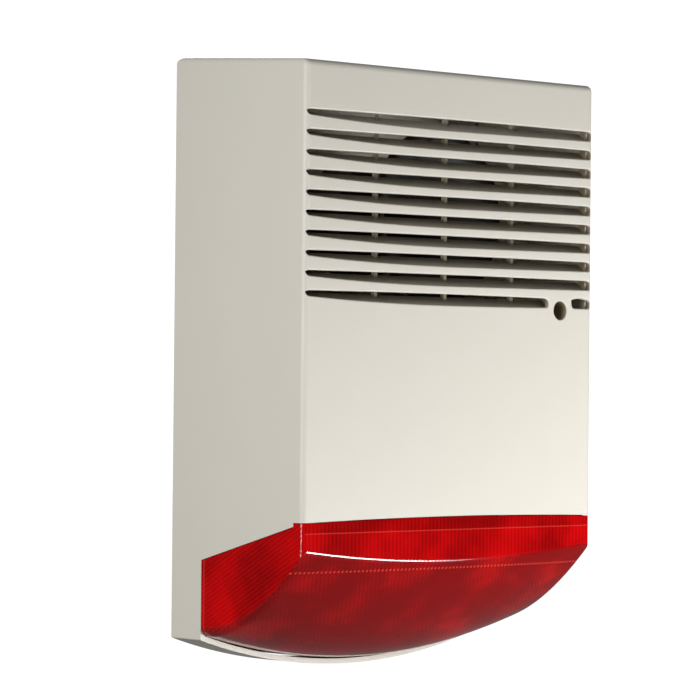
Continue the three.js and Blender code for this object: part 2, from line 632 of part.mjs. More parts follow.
function backPlate() {
  const plate = alongY(plateOutline(0), -PLATE, 0, 16);
  const rim = cut(
    alongY(plateOutline(0), -PLATE - RIM_DEPTH, -PLATE + 1, 16),
    alongY(plateOutline(RIM_WALL), -PLATE - RIM_DEPTH - 1, -PLATE + 2, 16),
  );
  const foot = -PLATE + 1;
  const posts = [
    ...wallScrews.map(([x, z]) => rodY(SEAT_RADIUS, -PLATE - SEAT_HEIGHT, foot, x, z, 14)),
    ...boardCorners().map(([x, z]) => rodY(3.4, -PLATE - STANDOFF, foot, x, z, 12)),
    ...[-BRACKET_X, BRACKET_X].map((x) => rodY(4.5, -PLATE - BRACKET_POST, foot, x, HORN_Z, 12)),
    ...[-1, 1].map((s) => rodY(4, -PLATE - STROBE_POST, foot, s * STROBE_POST_X, STROBE_Z, 12)),
    ...[-1, 1].map((s) => rodY(2.2, WALL_SWITCH_FACE + FIT, foot, WALL_TAMPER_X + s * WALL_SWITCH_SPAN,
      WALL_TAMPER_Z, 12)),
    ...strapFeet().map((x) => rodY(3.6, -PLATE - STRAP_POST, foot, x, BATTERY_Z, 12)),
    rodY(LOCK_POST_RADIUS, LOCK_POST_TIP, foot, WELL_X, WELL_Z),
    block(WELL_X - GUSSET_HALF, WELL_X + GUSSET_HALF, LOCK_POST_TIP + 14, foot, WELL_Z, WELL_Z + 16),
    block(WELL_X, HALF - COVER_WALL - RUN - 1, LOCK_POST_TIP + 22, foot, WELL_Z - GUSSET_HALF,
      WELL_Z + GUSSET_HALF),
  ];
  const through = [
    rodY(CABLE_HOLE, -FAR, FAR, 0, CABLE_Z),
    rodY(WALL_TAMPER_RADIUS + 0.5, -FAR, FAR, WALL_TAMPER_X, WALL_TAMPER_Z, 12),
    ...wallScrews.map(([x, z]) => rodY(WALL_SCREW_RADIUS, -FAR, FAR, x, z, 12)),
    ...[-HINGE_X, HINGE_X].map((x) => pinBore(x, KNUCKLE_WIDTH + 2 * EAR_WIDTH + 2, FIT / 2)),
  ];
  const pilot = SMALL_SCREW + FIT;
  const blind = [
    ...boardCorners().map(([x, z]) => rodY(pilot, -FAR, -PLATE, x, z, 12)),
    ...[-BRACKET_X, BRACKET_X].map((x) => rodY(BRACKET_SCREW + FIT, -FAR, -PLATE, x, HORN_Z, 12)),
    ...[-1, 1].map((s) => rodY(pilot, -FAR, -PLATE - 20, s * STROBE_POST_X, STROBE_Z, 12)),
    ...strapFeet().map((x) => rodY(pilot, -FAR, -PLATE, x, BATTERY_Z, 12)),
    rodY(LOCK_SHANK + FIT, LOCK_POST_TIP - 1, LOCK_POST_TIP + 14, WELL_X, WELL_Z, 12),
    rodY(LOCK_SHANK + FIT, LOCK_POST_TIP - 0.1, LOCK_POST_TIP + 6, WELL_X, WELL_Z, 16, LOCK_SHANK + 2.3),
  ];
  const walls = [...ears(-HINGE_X), ...ears(HINGE_X), ...cradle()];
  return cut(join(plate, rim, ...posts, ...walls), ...through, ...blind);
}

function hingePin(x) {
  const reach = KNUCKLE_WIDTH / 2 + FIT + EAR_WIDTH + 0.6;
  return rodX(PIN_RADIUS, x - reach, x + reach, HINGE_Y, HINGE_Z, 12);
}

// A rubber ring clipped round the cable hole's edge.
function cableGrommet() {
  const neck = CABLE_HOLE - FIT;
  const lip = CABLE_HOLE + 2.5;
  return turned([
    [CABLE_BORE, -PLATE - 5],
    [neck - 2, -PLATE - 5],
    [lip, -PLATE - 2],
    [lip, -PLATE - FIT],
    [neck, -PLATE - FIT],
    [neck, -0.4],
    [CABLE_BORE, -0.4],
    [CABLE_BORE, -PLATE - 5],
  ], 0, CABLE_Z);
}

// ---------------------------------------------------------------- horn and driver

const BRACKET_BACK = -PLATE - BRACKET_POST - FIT;
const BRACKET_FRONT = BRACKET_BACK - BRACKET_T;
const DRIVER_BACK = BRACKET_FRONT - FIT;
const DRIVER_FRONT = DRIVER_BACK - DRIVER_LENGTH;
const HORN_BACK = DRIVER_FRONT - FIT;
const STUD_RADIUS = 3;

function hornFlare() {
  const flange = 2.6;
  const mouth = INNER_FRONT + FIN_DEPTH + RIB_STEP + HORN_GAP;
  const length = HORN_BACK - mouth;
  const steps = 5;
  const radius = (t) => HORN_THROAT * (HORN_MOUTH / HORN_THROAT) ** t;
  const curve = many(steps + 1, (i) => [radius(i / steps), HORN_BACK - (length * i) / steps]);
  const inside = curve.slice();
  const outside = curve.slice(1).map(([r, y]) => [r + HORN_WALL, y + HORN_WALL * 0.4]).reverse();
  return turned([
    ...inside,
    [HORN_MOUTH + 3, mouth],
    [HORN_MOUTH + 3, mouth + 1.8],
    ...outside,
    [HORN_THROAT + 3, HORN_BACK - flange],
    [DRIVER_RADIUS, HORN_BACK - flange],
    [DRIVER_RADIUS, HORN_BACK],
    [HORN_THROAT, HORN_BACK],
  ], 0, HORN_Z, 24);
}

function driverHousing() {
  const inner = DRIVER_RADIUS - DRIVER_WALL;
  const stud = BRACKET_BACK + 5.6;
  const cup = turned([
    [0, DRIVER_BACK - DRIVER_WALL],
    [inner, DRIVER_BACK - DRIVER_WALL],
    [inner, DRIVER_FRONT],
    [DRIVER_RADIUS, DRIVER_FRONT],
    [DRIVER_RADIUS, DRIVER_BACK - 1],
    [DRIVER_RADIUS - 1, DRIVER_BACK],
    [STUD_RADIUS, DRIVER_BACK],
    [STUD_RADIUS, stud],
    [0, stud],
  ], 0, HORN_Z, 24);
  const tag = (z) => block(-DRIVER_RADIUS - 4, -DRIVER_RADIUS + 1, DRIVER_BACK - 12, DRIVER_BACK - 7,
    z - 2, z + 2);
  return join(cup, tag(HORN_Z - 5), tag(HORN_Z + 5));
}

const YOKE_BACK = DRIVER_BACK - DRIVER_WALL - FIT;
const YOKE_T = 2.9;
const MAGNET_BACK = YOKE_BACK - YOKE_T - FIT;
const MAGNET_T = 9;
const TOP_BACK = MAGNET_BACK - MAGNET_T - FIT;
const TOP_T = 3;
const STACK_RADIUS = DRIVER_RADIUS - DRIVER_WALL - 0.6;

function ring(inner, outer, front, back) {
  return turned([[inner, back], [inner, front], [outer, front], [outer, back], [inner, back]],
    0, HORN_Z, 22);
}

function driverYoke() {
  return turned([
    [0, TOP_BACK - TOP_T],
    [POLE_RADIUS, TOP_BACK - TOP_T],
    [POLE_RADIUS, YOKE_BACK - YOKE_T],
    [STACK_RADIUS, YOKE_BACK - YOKE_T],
    [STACK_RADIUS, YOKE_BACK],
    [0, YOKE_BACK],
  ], 0, HORN_Z, 22);
}

const driverMagnet = () => ring(POLE_RADIUS + 4, STACK_RADIUS, MAGNET_BACK - MAGNET_T, MAGNET_BACK);
const driverTopPlate = () => ring(POLE_RADIUS + 1.7, STACK_RADIUS, TOP_BACK - TOP_T, TOP_BACK);

function voiceCoil() {
  const back = TOP_BACK - 0.6;
  return ring(POLE_RADIUS + 0.5, POLE_RADIUS + 1.2, back - 4.2, back);
}

function diaphragm() {
  const face = TOP_BACK - 0.6 - 4.2 - FIT;
  const thick = 0.5;
  const dome = 1.4;
  return turned([
    [0, face - thick - dome + 1.2],
    [POLE_RADIUS, face - thick],
    [STACK_RADIUS, face - thick],
    [STACK_RADIUS, face],
    [POLE_RADIUS, face],
    [0, face - dome + 1.2],
  ], 0, HORN_Z, 22);
}

function hornBracket() {
  const reach = BRACKET_X + 6;
  const plate = new THREE.Shape();
  plate.moveTo(-reach + 4, HORN_Z - 9);
  plate.lineTo(reach - 4, HORN_Z - 9);
  plate.quadraticCurveTo(reach, HORN_Z - 9, reach, HORN_Z - 5);
  plate.lineTo(reach, HORN_Z + 5);
  plate.quadraticCurveTo(reach, HORN_Z + 9, reach - 4, HORN_Z + 9);
  plate.lineTo(-reach + 4, HORN_Z + 9);
  plate.quadraticCurveTo(-reach, HORN_Z + 9, -reach, HORN_Z + 5);
  plate.lineTo(-reach, HORN_Z - 5);
  plate.quadraticCurveTo(-reach, HORN_Z - 9, -reach + 4, HORN_Z - 9);
  return cut(
    alongY(plate, BRACKET_FRONT, BRACKET_BACK),
    rodY(STUD_RADIUS + 0.4, -FAR, FAR, 0, HORN_Z, 16),
    ...[-BRACKET_X, BRACKET_X].map((x) => rodY(BRACKET_SCREW + FIT, -FAR, FAR, x, HORN_Z, 12)),
  );
}

function driverNut() {
  const front = BRACKET_BACK + FIT;
  return cut(
    rodY(5.5, front, front + 4, 0, HORN_Z, 6),
    rodY(STUD_RADIUS + FIT, -FAR, FAR, 0, HORN_Z, 16),
  );
}

// ---------------------------------------------------------------- control board

// A block standing on the control board.
function onBoard({ x, z, w, h, d }, lift = 0) {
  return block(BOARD_X + x - w / 2, BOARD_X + x + w / 2, PARTS_FACE - d, PARTS_FACE - lift,
    BOARD_Z + z - h / 2, BOARD_Z + z + h / 2);
}

function mainBoard() {
  const half = BOARD_W / 2;
  const high = BOARD_H / 2;
  return cut(
    block(BOARD_X - half, BOARD_X + half, BOARD_FACE, BOARD_FACE + BOARD_T, BOARD_Z - high, BOARD_Z + high),
    ...boardCorners().map(([x, z]) => rodY(SMALL_SCREW + FIT, -FAR, FAR, x, z, 12)),
  );
}

const TERMINAL_TOP = BOARD_Z + TERMINALS.z + TERMINALS.h / 2;

function wayX(way) {
  return BOARD_X + TERMINALS.x + (way - (TERMINAL_WAYS - 1) / 2) * TERMINAL_PITCH;
}

function terminalBlock() {
  const body = onBoard(TERMINALS);
  const ways = many(TERMINAL_WAYS, wayX);
  return cut(
    body,
    ...ways.map((x) => rodY(1.6, -FAR, PARTS_FACE - 7, x, TERMINAL_TOP - 4, 8)),
    ...ways.map((x) => block(x - 1.6, x + 1.6, PARTS_FACE - 6.2, PARTS_FACE - 2.6, TERMINAL_TOP - 2, FAR)),
  );
}

const relay = () => onBoard(RELAY);

function reservoirCapacitor() {
  const { x, z, radius, d } = CAPACITOR;
  return turned([
    [0, PARTS_FACE - d],
    [radius - 0.9, PARTS_FACE - d],
    [radius, PARTS_FACE - d + 1],
    [radius, PARTS_FACE - 3.4],
    [radius - 0.6, PARTS_FACE - 2.8],
    [radius, PARTS_FACE - 2.2],
    [radius, PARTS_FACE],
    [0, PARTS_FACE],
  ], BOARD_X + x, BOARD_Z + z, 24);
}

const stepUpTransformer = () => join(onBoard(TRANSFORMER_CORE, 2), onBoard(TRANSFORMER_BOBBIN));

function controlChip() {
  const perSide = CHIP_LEGS / 2;
  const legs = many(CHIP_LEGS, (i) => {
    const x = CHIP.x + ((i % perSide) - (perSide - 1) / 2) * PIN_PITCH;
    const side = i < perSide ? 1 : -1;
    return onBoard({ x, z: CHIP.z + side * (CHIP.h / 2 + 0.3), w: 0.6, h: 1, d: 1.6 });
  });
  return join(onBoard(CHIP, 0.4), ...legs);
}

function jumperHeader() {
  const pins = many(HEADER_PINS, (i) => {
    const x = HEADER.x + (i - (HEADER_PINS - 1) / 2) * PIN_PITCH;
    return onBoard({ x, z: HEADER.z, w: 0.64, h: 0.64, d: 8 }, 1);
  });
  return join(onBoard(HEADER), onBoard(JUMPER, HEADER.d - 0.1), ...pins);
}

const SOCKET_X = BOARD_X + SOCKET.x;
const SOCKET_LOW = BOARD_Z + SOCKET.z - SOCKET.h / 2;

function strobeSocket() {
  const hollow = { ...SOCKET, z: SOCKET.z - 1.5, w: SOCKET.w - 2, d: SOCKET.d - 1 };
  return cut(onBoard(SOCKET), onBoard({ ...hollow, h: SOCKET.h }, 1));
}

// ---------------------------------------------------------------- tamper switches

class Helix extends THREE.Curve {
  constructor(radius, turns, y0, y1, x, z) {
    super();
    Object.assign(this, { radius, turns, y0, y1, x, z });
  }

  getPoint(t, target = new THREE.Vector3()) {
    const angle = 2 * Math.PI * this.turns * t;
    const y = this.y0 + (this.y1 - this.y0) * t;
    return target.set(this.x + this.radius * Math.cos(angle), y, this.z + this.radius * Math.sin(angle));
  }
}

// A round wire along a curve.
function wire(path, radius, steps, sides = 6) {
  const section = outline(many(sides, (i) => {
    const angle = (2 * Math.PI * i) / sides;
    return [radius * Math.cos(angle), radius * Math.sin(angle)];
  }));
  return solid(new THREE.ExtrudeGeometry(section, { steps, extrudePath: path, bevelEnabled: false }));
}

function spring(radius, turns, y0, y1, x, z) {
  return wire(new Helix(radius, turns, y0, y1, x, z), COIL_WIRE, Math.round(turns * 9), 5);
}

const FRONT_SWITCH_FACE = PARTS_FACE - TAMPER_SWITCH.d;
const FRONT_COLLAR = TAMPER_TIP + 3;
const COLLAR = 1.4;

function frontTamperSwitch() {
  return cut(
    onBoard(TAMPER_SWITCH),
    rodY(FRONT_STEM + FIT, -FAR, PARTS_FACE - 2, TAMPER_X, TAMPER_Z, 16),
  );
}

function frontTamperPlunger() {
  return turned([
    [0, TAMPER_TIP],
    [2, TAMPER_TIP + 0.3],
    [2.6, TAMPER_TIP + 1.2],
    [2.6, FRONT_COLLAR - 0.6],
    [COLLAR_RADIUS, FRONT_COLLAR],
    [COLLAR_RADIUS, FRONT_COLLAR + COLLAR],
    [FRONT_STEM, FRONT_COLLAR + COLLAR],
    [FRONT_STEM, PARTS_FACE - 3],
    [0, PARTS_FACE - 3],
  ], TAMPER_X, TAMPER_Z, 20);
}

function frontTamperSpring() {
  const y0 = FRONT_COLLAR + COLLAR + COIL_WIRE + FIT;
  const y1 = FRONT_SWITCH_FACE - COIL_WIRE - FIT;
  return spring(2.9, 4.5, y0, y1, TAMPER_X, TAMPER_Z);
}

function wallTamperSwitch() {
  const x0 = WALL_TAMPER_X - WALL_SWITCH_SPAN - 3;
  const x1 = WALL_TAMPER_X + WALL_SWITCH_SPAN + 3;
  const face = WALL_SWITCH_FACE;
  return cut(
    block(x0, x1, face - 9, face, WALL_TAMPER_Z - 4.5, WALL_TAMPER_Z + 4.5),
    rodY(WALL_STEM + 0.4, face - 7, FAR, WALL_TAMPER_X, WALL_TAMPER_Z, 16),
  );
}

function wallTamperPlunger() {
  return turned([
    [0, WALL_SWITCH_FACE - 5],
    [WALL_STEM, WALL_SWITCH_FACE - 5],
    [WALL_STEM, WALL_COLLAR],
    [COLLAR_RADIUS, WALL_COLLAR],
    [COLLAR_RADIUS, WALL_COLLAR + 1.5],
    [WALL_TAMPER_RADIUS, WALL_COLLAR + 1.5],
    [WALL_TAMPER_RADIUS, -1],
    [WALL_TAMPER_RADIUS - 0.8, -0.2],
    [0, -0.2],
  ], WALL_TAMPER_X, WALL_TAMPER_Z, 20);
}

function wallTamperSpring() {
  const y0 = WALL_SWITCH_FACE + COIL_WIRE + FIT;
  const y1 = WALL_COLLAR - COIL_WIRE - FIT;
  return spring(2.6, 2.5, y0, y1, WALL_TAMPER_X, WALL_TAMPER_Z);
}

// ---------------------------------------------------------------- battery

const BATTERY_BACK = -PLATE - 0.5;
const BATTERY_FRONT = BATTERY_BACK - BATTERY_D;
const BATTERY_TOP = BATTERY_Z + BATTERY_H / 2;

function batteryCase() {
  const x0 = BATTERY_X - BATTERY_W / 2;
  const x1 = BATTERY_X + BATTERY_W / 2;
  const low = BATTERY_Z - BATTERY_H / 2;
  const step = 1.2;
  return join(
    block(x0 + step, x1 - step, BATTERY_FRONT + step, BATTERY_BACK - step, low, BATTERY_TOP),
    block(x0, x1, BATTERY_FRONT, BATTERY_BACK, low, BATTERY_TOP - 10),
  );
}

const TAB_X = { positive: BATTERY_X - 14, negative: BATTERY_X + 3 };
const TAB_Y = BATTERY_BACK - 12;

function batteryTab(x) {
  const foot = BATTERY_TOP + FIT;
  return join(
    block(x - 4, x + 4, TAB_Y - 3, TAB_Y + 3, foot, foot + 0.8),
    block(x - 2.4, x + 2.4, TAB_Y - 0.4, TAB_Y + 0.4, foot + 0.5, foot + 6.3),
  );
}

// A steel strip bent over the battery, with a foot each side.
function batteryStrap() {
  const inner = BATTERY_W / 2 + CRADLE_GAP + CRADLE_WALL + CRADLE_GAP;
  const outer = inner + STRAP_T;
  const toe = inner + STRAP_FOOT;
  const over = BATTERY_FRONT - FIT - STRAP_T;
  const sole = -PLATE - STRAP_POST - FIT;
  const half = [[outer, over], [outer, sole - STRAP_T], [toe, sole - STRAP_T], [toe, sole],
    [inner, sole], [inner, over + STRAP_T]];
  const side = (sign) => half.map(([x, y]) => [BATTERY_X + sign * x, y]);
  const section = outline([...side(1), ...side(-1).reverse()]);
  return cut(
    alongZ(section, BATTERY_Z - STRAP_W / 2, BATTERY_Z + STRAP_W / 2),
    ...strapFeet().map((x) => rodY(SMALL_SCREW + FIT, -FAR, FAR, x, BATTERY_Z, 12)),
  );
}

// ---------------------------------------------------------------- strobe

const STROBE_BACK = -PLATE - STROBE_POST - FIT;
const STROBE_FACE = STROBE_BACK - BOARD_T;
const REFLECTOR_BACK = STROBE_FACE - FIT;
const REFLECTOR_DEPTH = 16;
const REFLECTOR_HALF = 13;
const REFLECTOR_T = 1.2;
const TUBE_Y = REFLECTOR_BACK - 8;
const CLIP_X = REFLECTOR_W / 2 + 1;

function strobeBoard() {
  const half = STROBE_W / 2;
  const holes = [-1, 1].map((s) => rodY(SMALL_SCREW + FIT, -FAR, FAR, s * STROBE_POST_X, STROBE_Z, 12));
  return cut(
    block(-half, half, STROBE_FACE, STROBE_BACK, STROBE_Z - STROBE_H / 2, STROBE_Z + STROBE_H / 2),
    ...holes,
  );
}

// A bright trough behind the tube, open to the front.
function strobeReflector() {
  const steps = 12;
  const parabola = (half, vertex, depth) => many(steps + 1, (i) => {
    const u = (2 * i) / steps - 1;
    return [vertex - depth * u * u, STROBE_Z + half * u];
  });
  const mouth = REFLECTOR_DEPTH - REFLECTOR_T;
  const inner = parabola(REFLECTOR_HALF - REFLECTOR_T, REFLECTOR_BACK - REFLECTOR_T, mouth);
  const outer = parabola(REFLECTOR_HALF, REFLECTOR_BACK, REFLECTOR_DEPTH).reverse();
  return alongX(outline([...inner, ...outer]), -REFLECTOR_W / 2, REFLECTOR_W / 2);
}

function xenonTube() {
  const reach = CLIP_X + 4;
  const shoulder = CLIP_X - 3;
  return join(
    rodX(TUBE_RADIUS, -shoulder, shoulder, TUBE_Y, STROBE_Z, 20),
    rodX(TUBE_RADIUS - 1, -reach, reach, TUBE_Y, STROBE_Z, 12),
  );
}

function tubeClip(side) {
  const [x0, x1] = side < 0 ? [-CLIP_X - 2, -CLIP_X] : [CLIP_X, CLIP_X + 2];
  return cut(
    block(x0, x1, TUBE_Y - 3.4, STROBE_FACE - FIT, STROBE_Z - 3.4, STROBE_Z + 3.4),
    rodX(TUBE_RADIUS - 1 + FIT, -HALF, HALF, TUBE_Y, STROBE_Z, 12),
  );
}

// ---------------------------------------------------------------- internal leads

function lead(points, radius = LEAD_RADIUS) {
  const path = new THREE.CatmullRomCurve3(points.map(([x, y, z]) => new THREE.Vector3(x, y, z)));
  return wire(path, radius, points.length * 4);
}

// From a point above a terminal way straight down to it.
function intoWay(way) {
  const x = wayX(way);
  const y = PARTS_FACE - 4.4;
  return [[x, y, TERMINAL_TOP + 9], [x, y, TERMINAL_TOP + FIT]];
}

function hornLead(way, z, out) {
  const y = DRIVER_BACK - 9.5;
  const x = -DRIVER_RADIUS - 4 - FIT;
  return lead([[x, y, z], [x - 4 - out, y, z - 2], [x - 8 - out, y - 1, z - 24], ...intoWay(way)]);
}

function batteryLead(way, x, lane) {
  const top = BATTERY_TOP + FIT + 6.3 + FIT;
  const y = TAB_Y - 5 - 3 * lane;
  const rise = 4 * lane;
  return lead([
    [x, TAB_Y, top],
    [x, TAB_Y, top + 4],
    [x - 16, y, top + 11 + rise],
    [BOARD_X + BOARD_W / 2 + 10, y, top + 9 + rise],
    ...intoWay(way),
  ]);
}

const PLUG_X = 3 - STROBE_W / 2;
const PLUG_RISE = 11;
const PLUG_HALF = 3;

function strobeLead() {
  const y = PARTS_FACE - 3.5;
  const plug = SOCKET_LOW - FIT;
  return lead([
    [PLUG_X, STROBE_FACE - 4, STROBE_Z + PLUG_RISE],
    [PLUG_X - 2, STROBE_FACE - 6, STROBE_Z + PLUG_RISE + 7],
    [(PLUG_X - 2 + SOCKET_X) / 2, STROBE_FACE + 4, STROBE_Z + PLUG_RISE + 15],
    [SOCKET_X, y - 4, plug - 8],
    [SOCKET_X, y, plug],
  ], 1.3);
}

function strobePlug() {
  const z = STROBE_Z + PLUG_RISE;
  const hollow = PLUG_HALF - 1;
  return cut(
    block(PLUG_X - PLUG_HALF, PLUG_X + PLUG_HALF, STROBE_FACE - 7, STROBE_FACE - FIT, z - 5, z - 1.6),
    block(PLUG_X - hollow, PLUG_X + hollow, STROBE_FACE - 6, STROBE_FACE - 2, z - 2.6, FAR),
  );
}

// ---------------------------------------------------------------- assembly

const finish = (color, roughness, metalness = 0) => ({ color, roughness, metalness });

const finishes = {
  cover: finish(0xdedbcf, 0.5),
  plate: finish(0xd2cfc3, 0.55),
  lens: finish(0xb01217, 0.12),
  steel: finish(0xa9abad, 0.35, 1),
  rubber: finish(0x1d1d1d, 0.85),
  horn: finish(0x2b2b2c, 0.6),
  ferrite: finish(0x39383a, 0.8),
  copper: finish(0xb36a3c, 0.4, 1),
  film: finish(0xb98b3a, 0.4),
  board: finish(0x1e5a35, 0.5),
  black: finish(0x202022, 0.5),
  terminal: finish(0x2f7d4a, 0.5),
  relay: finish(0x28507e, 0.5),
  yellow: finish(0xd9b23a, 0.5),
  battery: finish(0x3c3f44, 0.6),
  mirror: finish(0xd8dade, 0.1, 1),
  glass: finish(0xe6ecf0, 0.05),
  red: finish(0xb52222, 0.5),
  white: finish(0xe8e6df, 0.5),
};

const siren = new THREE.Group();

function add(name, body, look) {
  const mesh = body.getMesh();
  const geometry = new THREE.BufferGeometry();
  geometry.setAttribute('position', new THREE.BufferAttribute(mesh.vertProperties, 3));
  geometry.setIndex(new THREE.BufferAttribute(mesh.triVerts, 1));
  geometry.computeVertexNormals();
  const node = new THREE.Mesh(geometry, new THREE.MeshStandardMaterial(finishes[look]));
  node.name = name;
  siren.add(node);
}

add('front_cover', frontCover(), 'cover');
add('strobe_lens', strobeLens(), 'lens');
LENS_SCREW_X.forEach((x, i) => {
  add(`lens_screw_${i + 1}`, screwFromBehind(x, TAB_FACE + TAB + FIT, LENS_SCREW_Z), 'steel');
});

// A lens screw is driven from inside the cover, towards the front.
function screwFromBehind(x, y, z) {
  return screw(0, 0, 0, SMALL_SCREW, 3, 7).rotate([0, 0, 180]).translate([x, y, z]);
}

add('locking_screw', screw(WELL_X, WELL_FLOOR - FIT, WELL_Z, LOCK_SHANK, LOCK_HEAD,
  COVER_WALL + 3 * FIT + LOCK_BITE), 'steel');

add('back_plate', backPlate(), 'plate');
add('hinge_pin_left', hingePin(-HINGE_X), 'steel');
add('hinge_pin_right', hingePin(HINGE_X), 'steel');
add('cable_grommet', cableGrommet(), 'rubber');

add('horn_flare', hornFlare(), 'horn');
add('driver_housing', driverHousing(), 'black');
add('driver_yoke', driverYoke(), 'steel');
add('driver_magnet', driverMagnet(), 'ferrite');
add('driver_top_plate', driverTopPlate(), 'steel');
add('voice_coil', voiceCoil(), 'copper');
add('diaphragm', diaphragm(), 'film');
add('horn_bracket', hornBracket(), 'steel');
[-BRACKET_X, BRACKET_X].forEach((x, i) => {
  add(`bracket_screw_${i + 1}`, screw(x, BRACKET_FRONT - FIT, HORN_Z, BRACKET_SCREW, 3.2, 8), 'steel');
});
add('driver_nut', driverNut(), 'steel');

add('main_board', mainBoard(), 'board');
boardCorners().forEach(([x, z], i) => {
  add(`board_screw_${i + 1}`, screw(x, BOARD_FACE - FIT, z, SMALL_SCREW, 2.7, 6.5), 'steel');
});
add('terminal_block', terminalBlock(), 'terminal');
add('relay', relay(), 'relay');
add('reservoir_capacitor', reservoirCapacitor(), 'black');
add('step_up_transformer', stepUpTransformer(), 'yellow');
add('control_chip', controlChip(), 'black');
add('jumper_header', jumperHeader(), 'black');
add('strobe_socket', strobeSocket(), 'white');

add('front_tamper_switch', frontTamperSwitch(), 'black');
add('front_tamper_plunger', frontTamperPlunger(), 'white');
add('front_tamper_spring', frontTamperSpring(), 'steel');
add('wall_tamper_switch', wallTamperSwitch(), 'black');
add('wall_tamper_plunger', wallTamperPlunger(), 'white');
add('wall_tamper_spring', wallTamperSpring(), 'steel');

add('battery', batteryCase(), 'battery');
add('battery_tab_positive', batteryTab(TAB_X.positive), 'steel');
add('battery_tab_negative', batteryTab(TAB_X.negative), 'steel');
add('battery_strap', batteryStrap(), 'steel');
strapFeet().forEach((x, i) => {
  const face = -PLATE - STRAP_POST - FIT - STRAP_T - FIT;
  add(`strap_screw_${i + 1}`, screw(x, face, BATTERY_Z, SMALL_SCREW, 2.9, 6.5), 'steel');
});

add('strobe_board', strobeBoard(), 'board');
[-1, 1].forEach((s, i) => {
  const x = s * STROBE_POST_X;
  add(`strobe_screw_${i + 1}`, screw(x, STROBE_FACE - FIT, STROBE_Z, SMALL_SCREW, 2.8, 8), 'steel');
});
add('strobe_reflector', strobeReflector(), 'mirror');
add('xenon_tube', xenonTube(), 'glass');
add('tube_clip_left', tubeClip(-1), 'white');
add('tube_clip_right', tubeClip(1), 'white');
add('strobe_plug', strobePlug(), 'white');

add('horn_lead_red', hornLead(1, HORN_Z + 5, 4), 'red');
add('horn_lead_black', hornLead(2, HORN_Z - 5, 0), 'black');
add('battery_lead_red', batteryLead(7, TAB_X.positive, 0), 'red');
add('battery_lead_black', batteryLead(6, TAB_X.negative, 1), 'black');
add('strobe_lead', strobeLead(), 'white');

export default siren;
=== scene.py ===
"""An outdoor alarm siren with a strobe, finished for show on the frame of its CAD model.

The cover and its lens are built here as moulded shells; the fasteners, leads, horn and board parts
inside them follow the frame's own nodes. Sizes below are millimetres unless a name says otherwise.
"""

import json
import math

import bmesh
import bpy
import numpy as np
from mathutils import Matrix, Vector


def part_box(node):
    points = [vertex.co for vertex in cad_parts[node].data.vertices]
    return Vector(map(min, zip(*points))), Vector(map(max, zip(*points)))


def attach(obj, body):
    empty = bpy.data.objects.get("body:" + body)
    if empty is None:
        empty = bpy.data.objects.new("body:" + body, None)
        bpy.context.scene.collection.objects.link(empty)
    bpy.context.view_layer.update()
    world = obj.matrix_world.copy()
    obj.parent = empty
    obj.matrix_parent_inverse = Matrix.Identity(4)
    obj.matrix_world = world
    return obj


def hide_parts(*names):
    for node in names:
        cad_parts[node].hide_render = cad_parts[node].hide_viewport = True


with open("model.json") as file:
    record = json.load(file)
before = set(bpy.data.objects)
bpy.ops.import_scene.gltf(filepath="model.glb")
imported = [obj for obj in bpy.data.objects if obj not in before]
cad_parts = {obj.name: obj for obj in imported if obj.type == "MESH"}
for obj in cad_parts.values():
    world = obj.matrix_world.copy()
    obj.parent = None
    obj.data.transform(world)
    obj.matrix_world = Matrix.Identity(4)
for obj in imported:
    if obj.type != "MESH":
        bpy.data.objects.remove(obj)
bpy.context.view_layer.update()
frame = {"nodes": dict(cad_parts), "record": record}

MM = 0.001  # metres in a millimetre
NODES = frame["nodes"]

# ---------------------------------------------------------------- sizes that the frame gives


def box_mm(name):
    low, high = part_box(name)
    return low / MM, high / MM


COVER_LOW, COVER_HIGH = box_mm("front_cover")
LENS_HIGH = box_mm("strobe_lens")[1]
SCREW_LOW, SCREW_HIGH = box_mm("locking_screw")
PLUNGER_LOW, PLUNGER_HIGH = box_mm("front_tamper_plunger")

HALF = COVER_HIGH.x
FRONT = COVER_LOW.y
BACK = COVER_HIGH.y
BOTTOM = COVER_LOW.z
PIN_LOW, PIN_HIGH = box_mm("hinge_pin_left")
PIN_Y = (PIN_LOW.y + PIN_HIGH.y) / 2
PIN_Z = (PIN_LOW.z + PIN_HIGH.z) / 2
HINGE_X = -(PIN_LOW.x + PIN_HIGH.x) / 2
WELL_X = (SCREW_LOW.x + SCREW_HIGH.x) / 2
WELL_Z = (SCREW_LOW.z + SCREW_HIGH.z) / 2
TAMPER_X = (PLUNGER_LOW.x + PLUNGER_HIGH.x) / 2
TAMPER_Z = (PLUNGER_LOW.z + PLUNGER_HIGH.z) / 2

# ---------------------------------------------------------------- sizes of the mouldings

COVER_WALL = 2.6
ROOF_SLOPE = 6 / 94.5
BOTTOM_BOW = 16
HINGE_RADIUS = 5.2
FRONT_RADIUS = 3
FRONT_TOP_RADIUS = 3.5
ROOF_RADIUS = 2
HEM_RADIUS = 0.6
INNER_FRONT = FRONT + COVER_WALL

SLOT_COUNT = 10
SLOT_PITCH = 9.54
SLOT_HEIGHT = 4.6
SLOT_CROWN = 0.8
SLOT_DROP = 26
SLOT_END_GAP = 0.9
SLOT_LIPS = (0.9, 0.9, 0.6)  # radii of the top edge, the bottom edge and the ends
SLOT_NOSE = 2
LAND_HALF = 8.4
FIN_THICKNESS = 1.5
FIN_DEPTH = 5.5
FIN_RISE = 4.6
RIB_SPACING = 47.3
RIB_THICKNESS = 2
RIB_STEP = 0.6
RIB_DEPTH = 2.1

WELL_RADIUS = 4.75
WELL_WALL = 2.2
WELL_DEPTH = 40

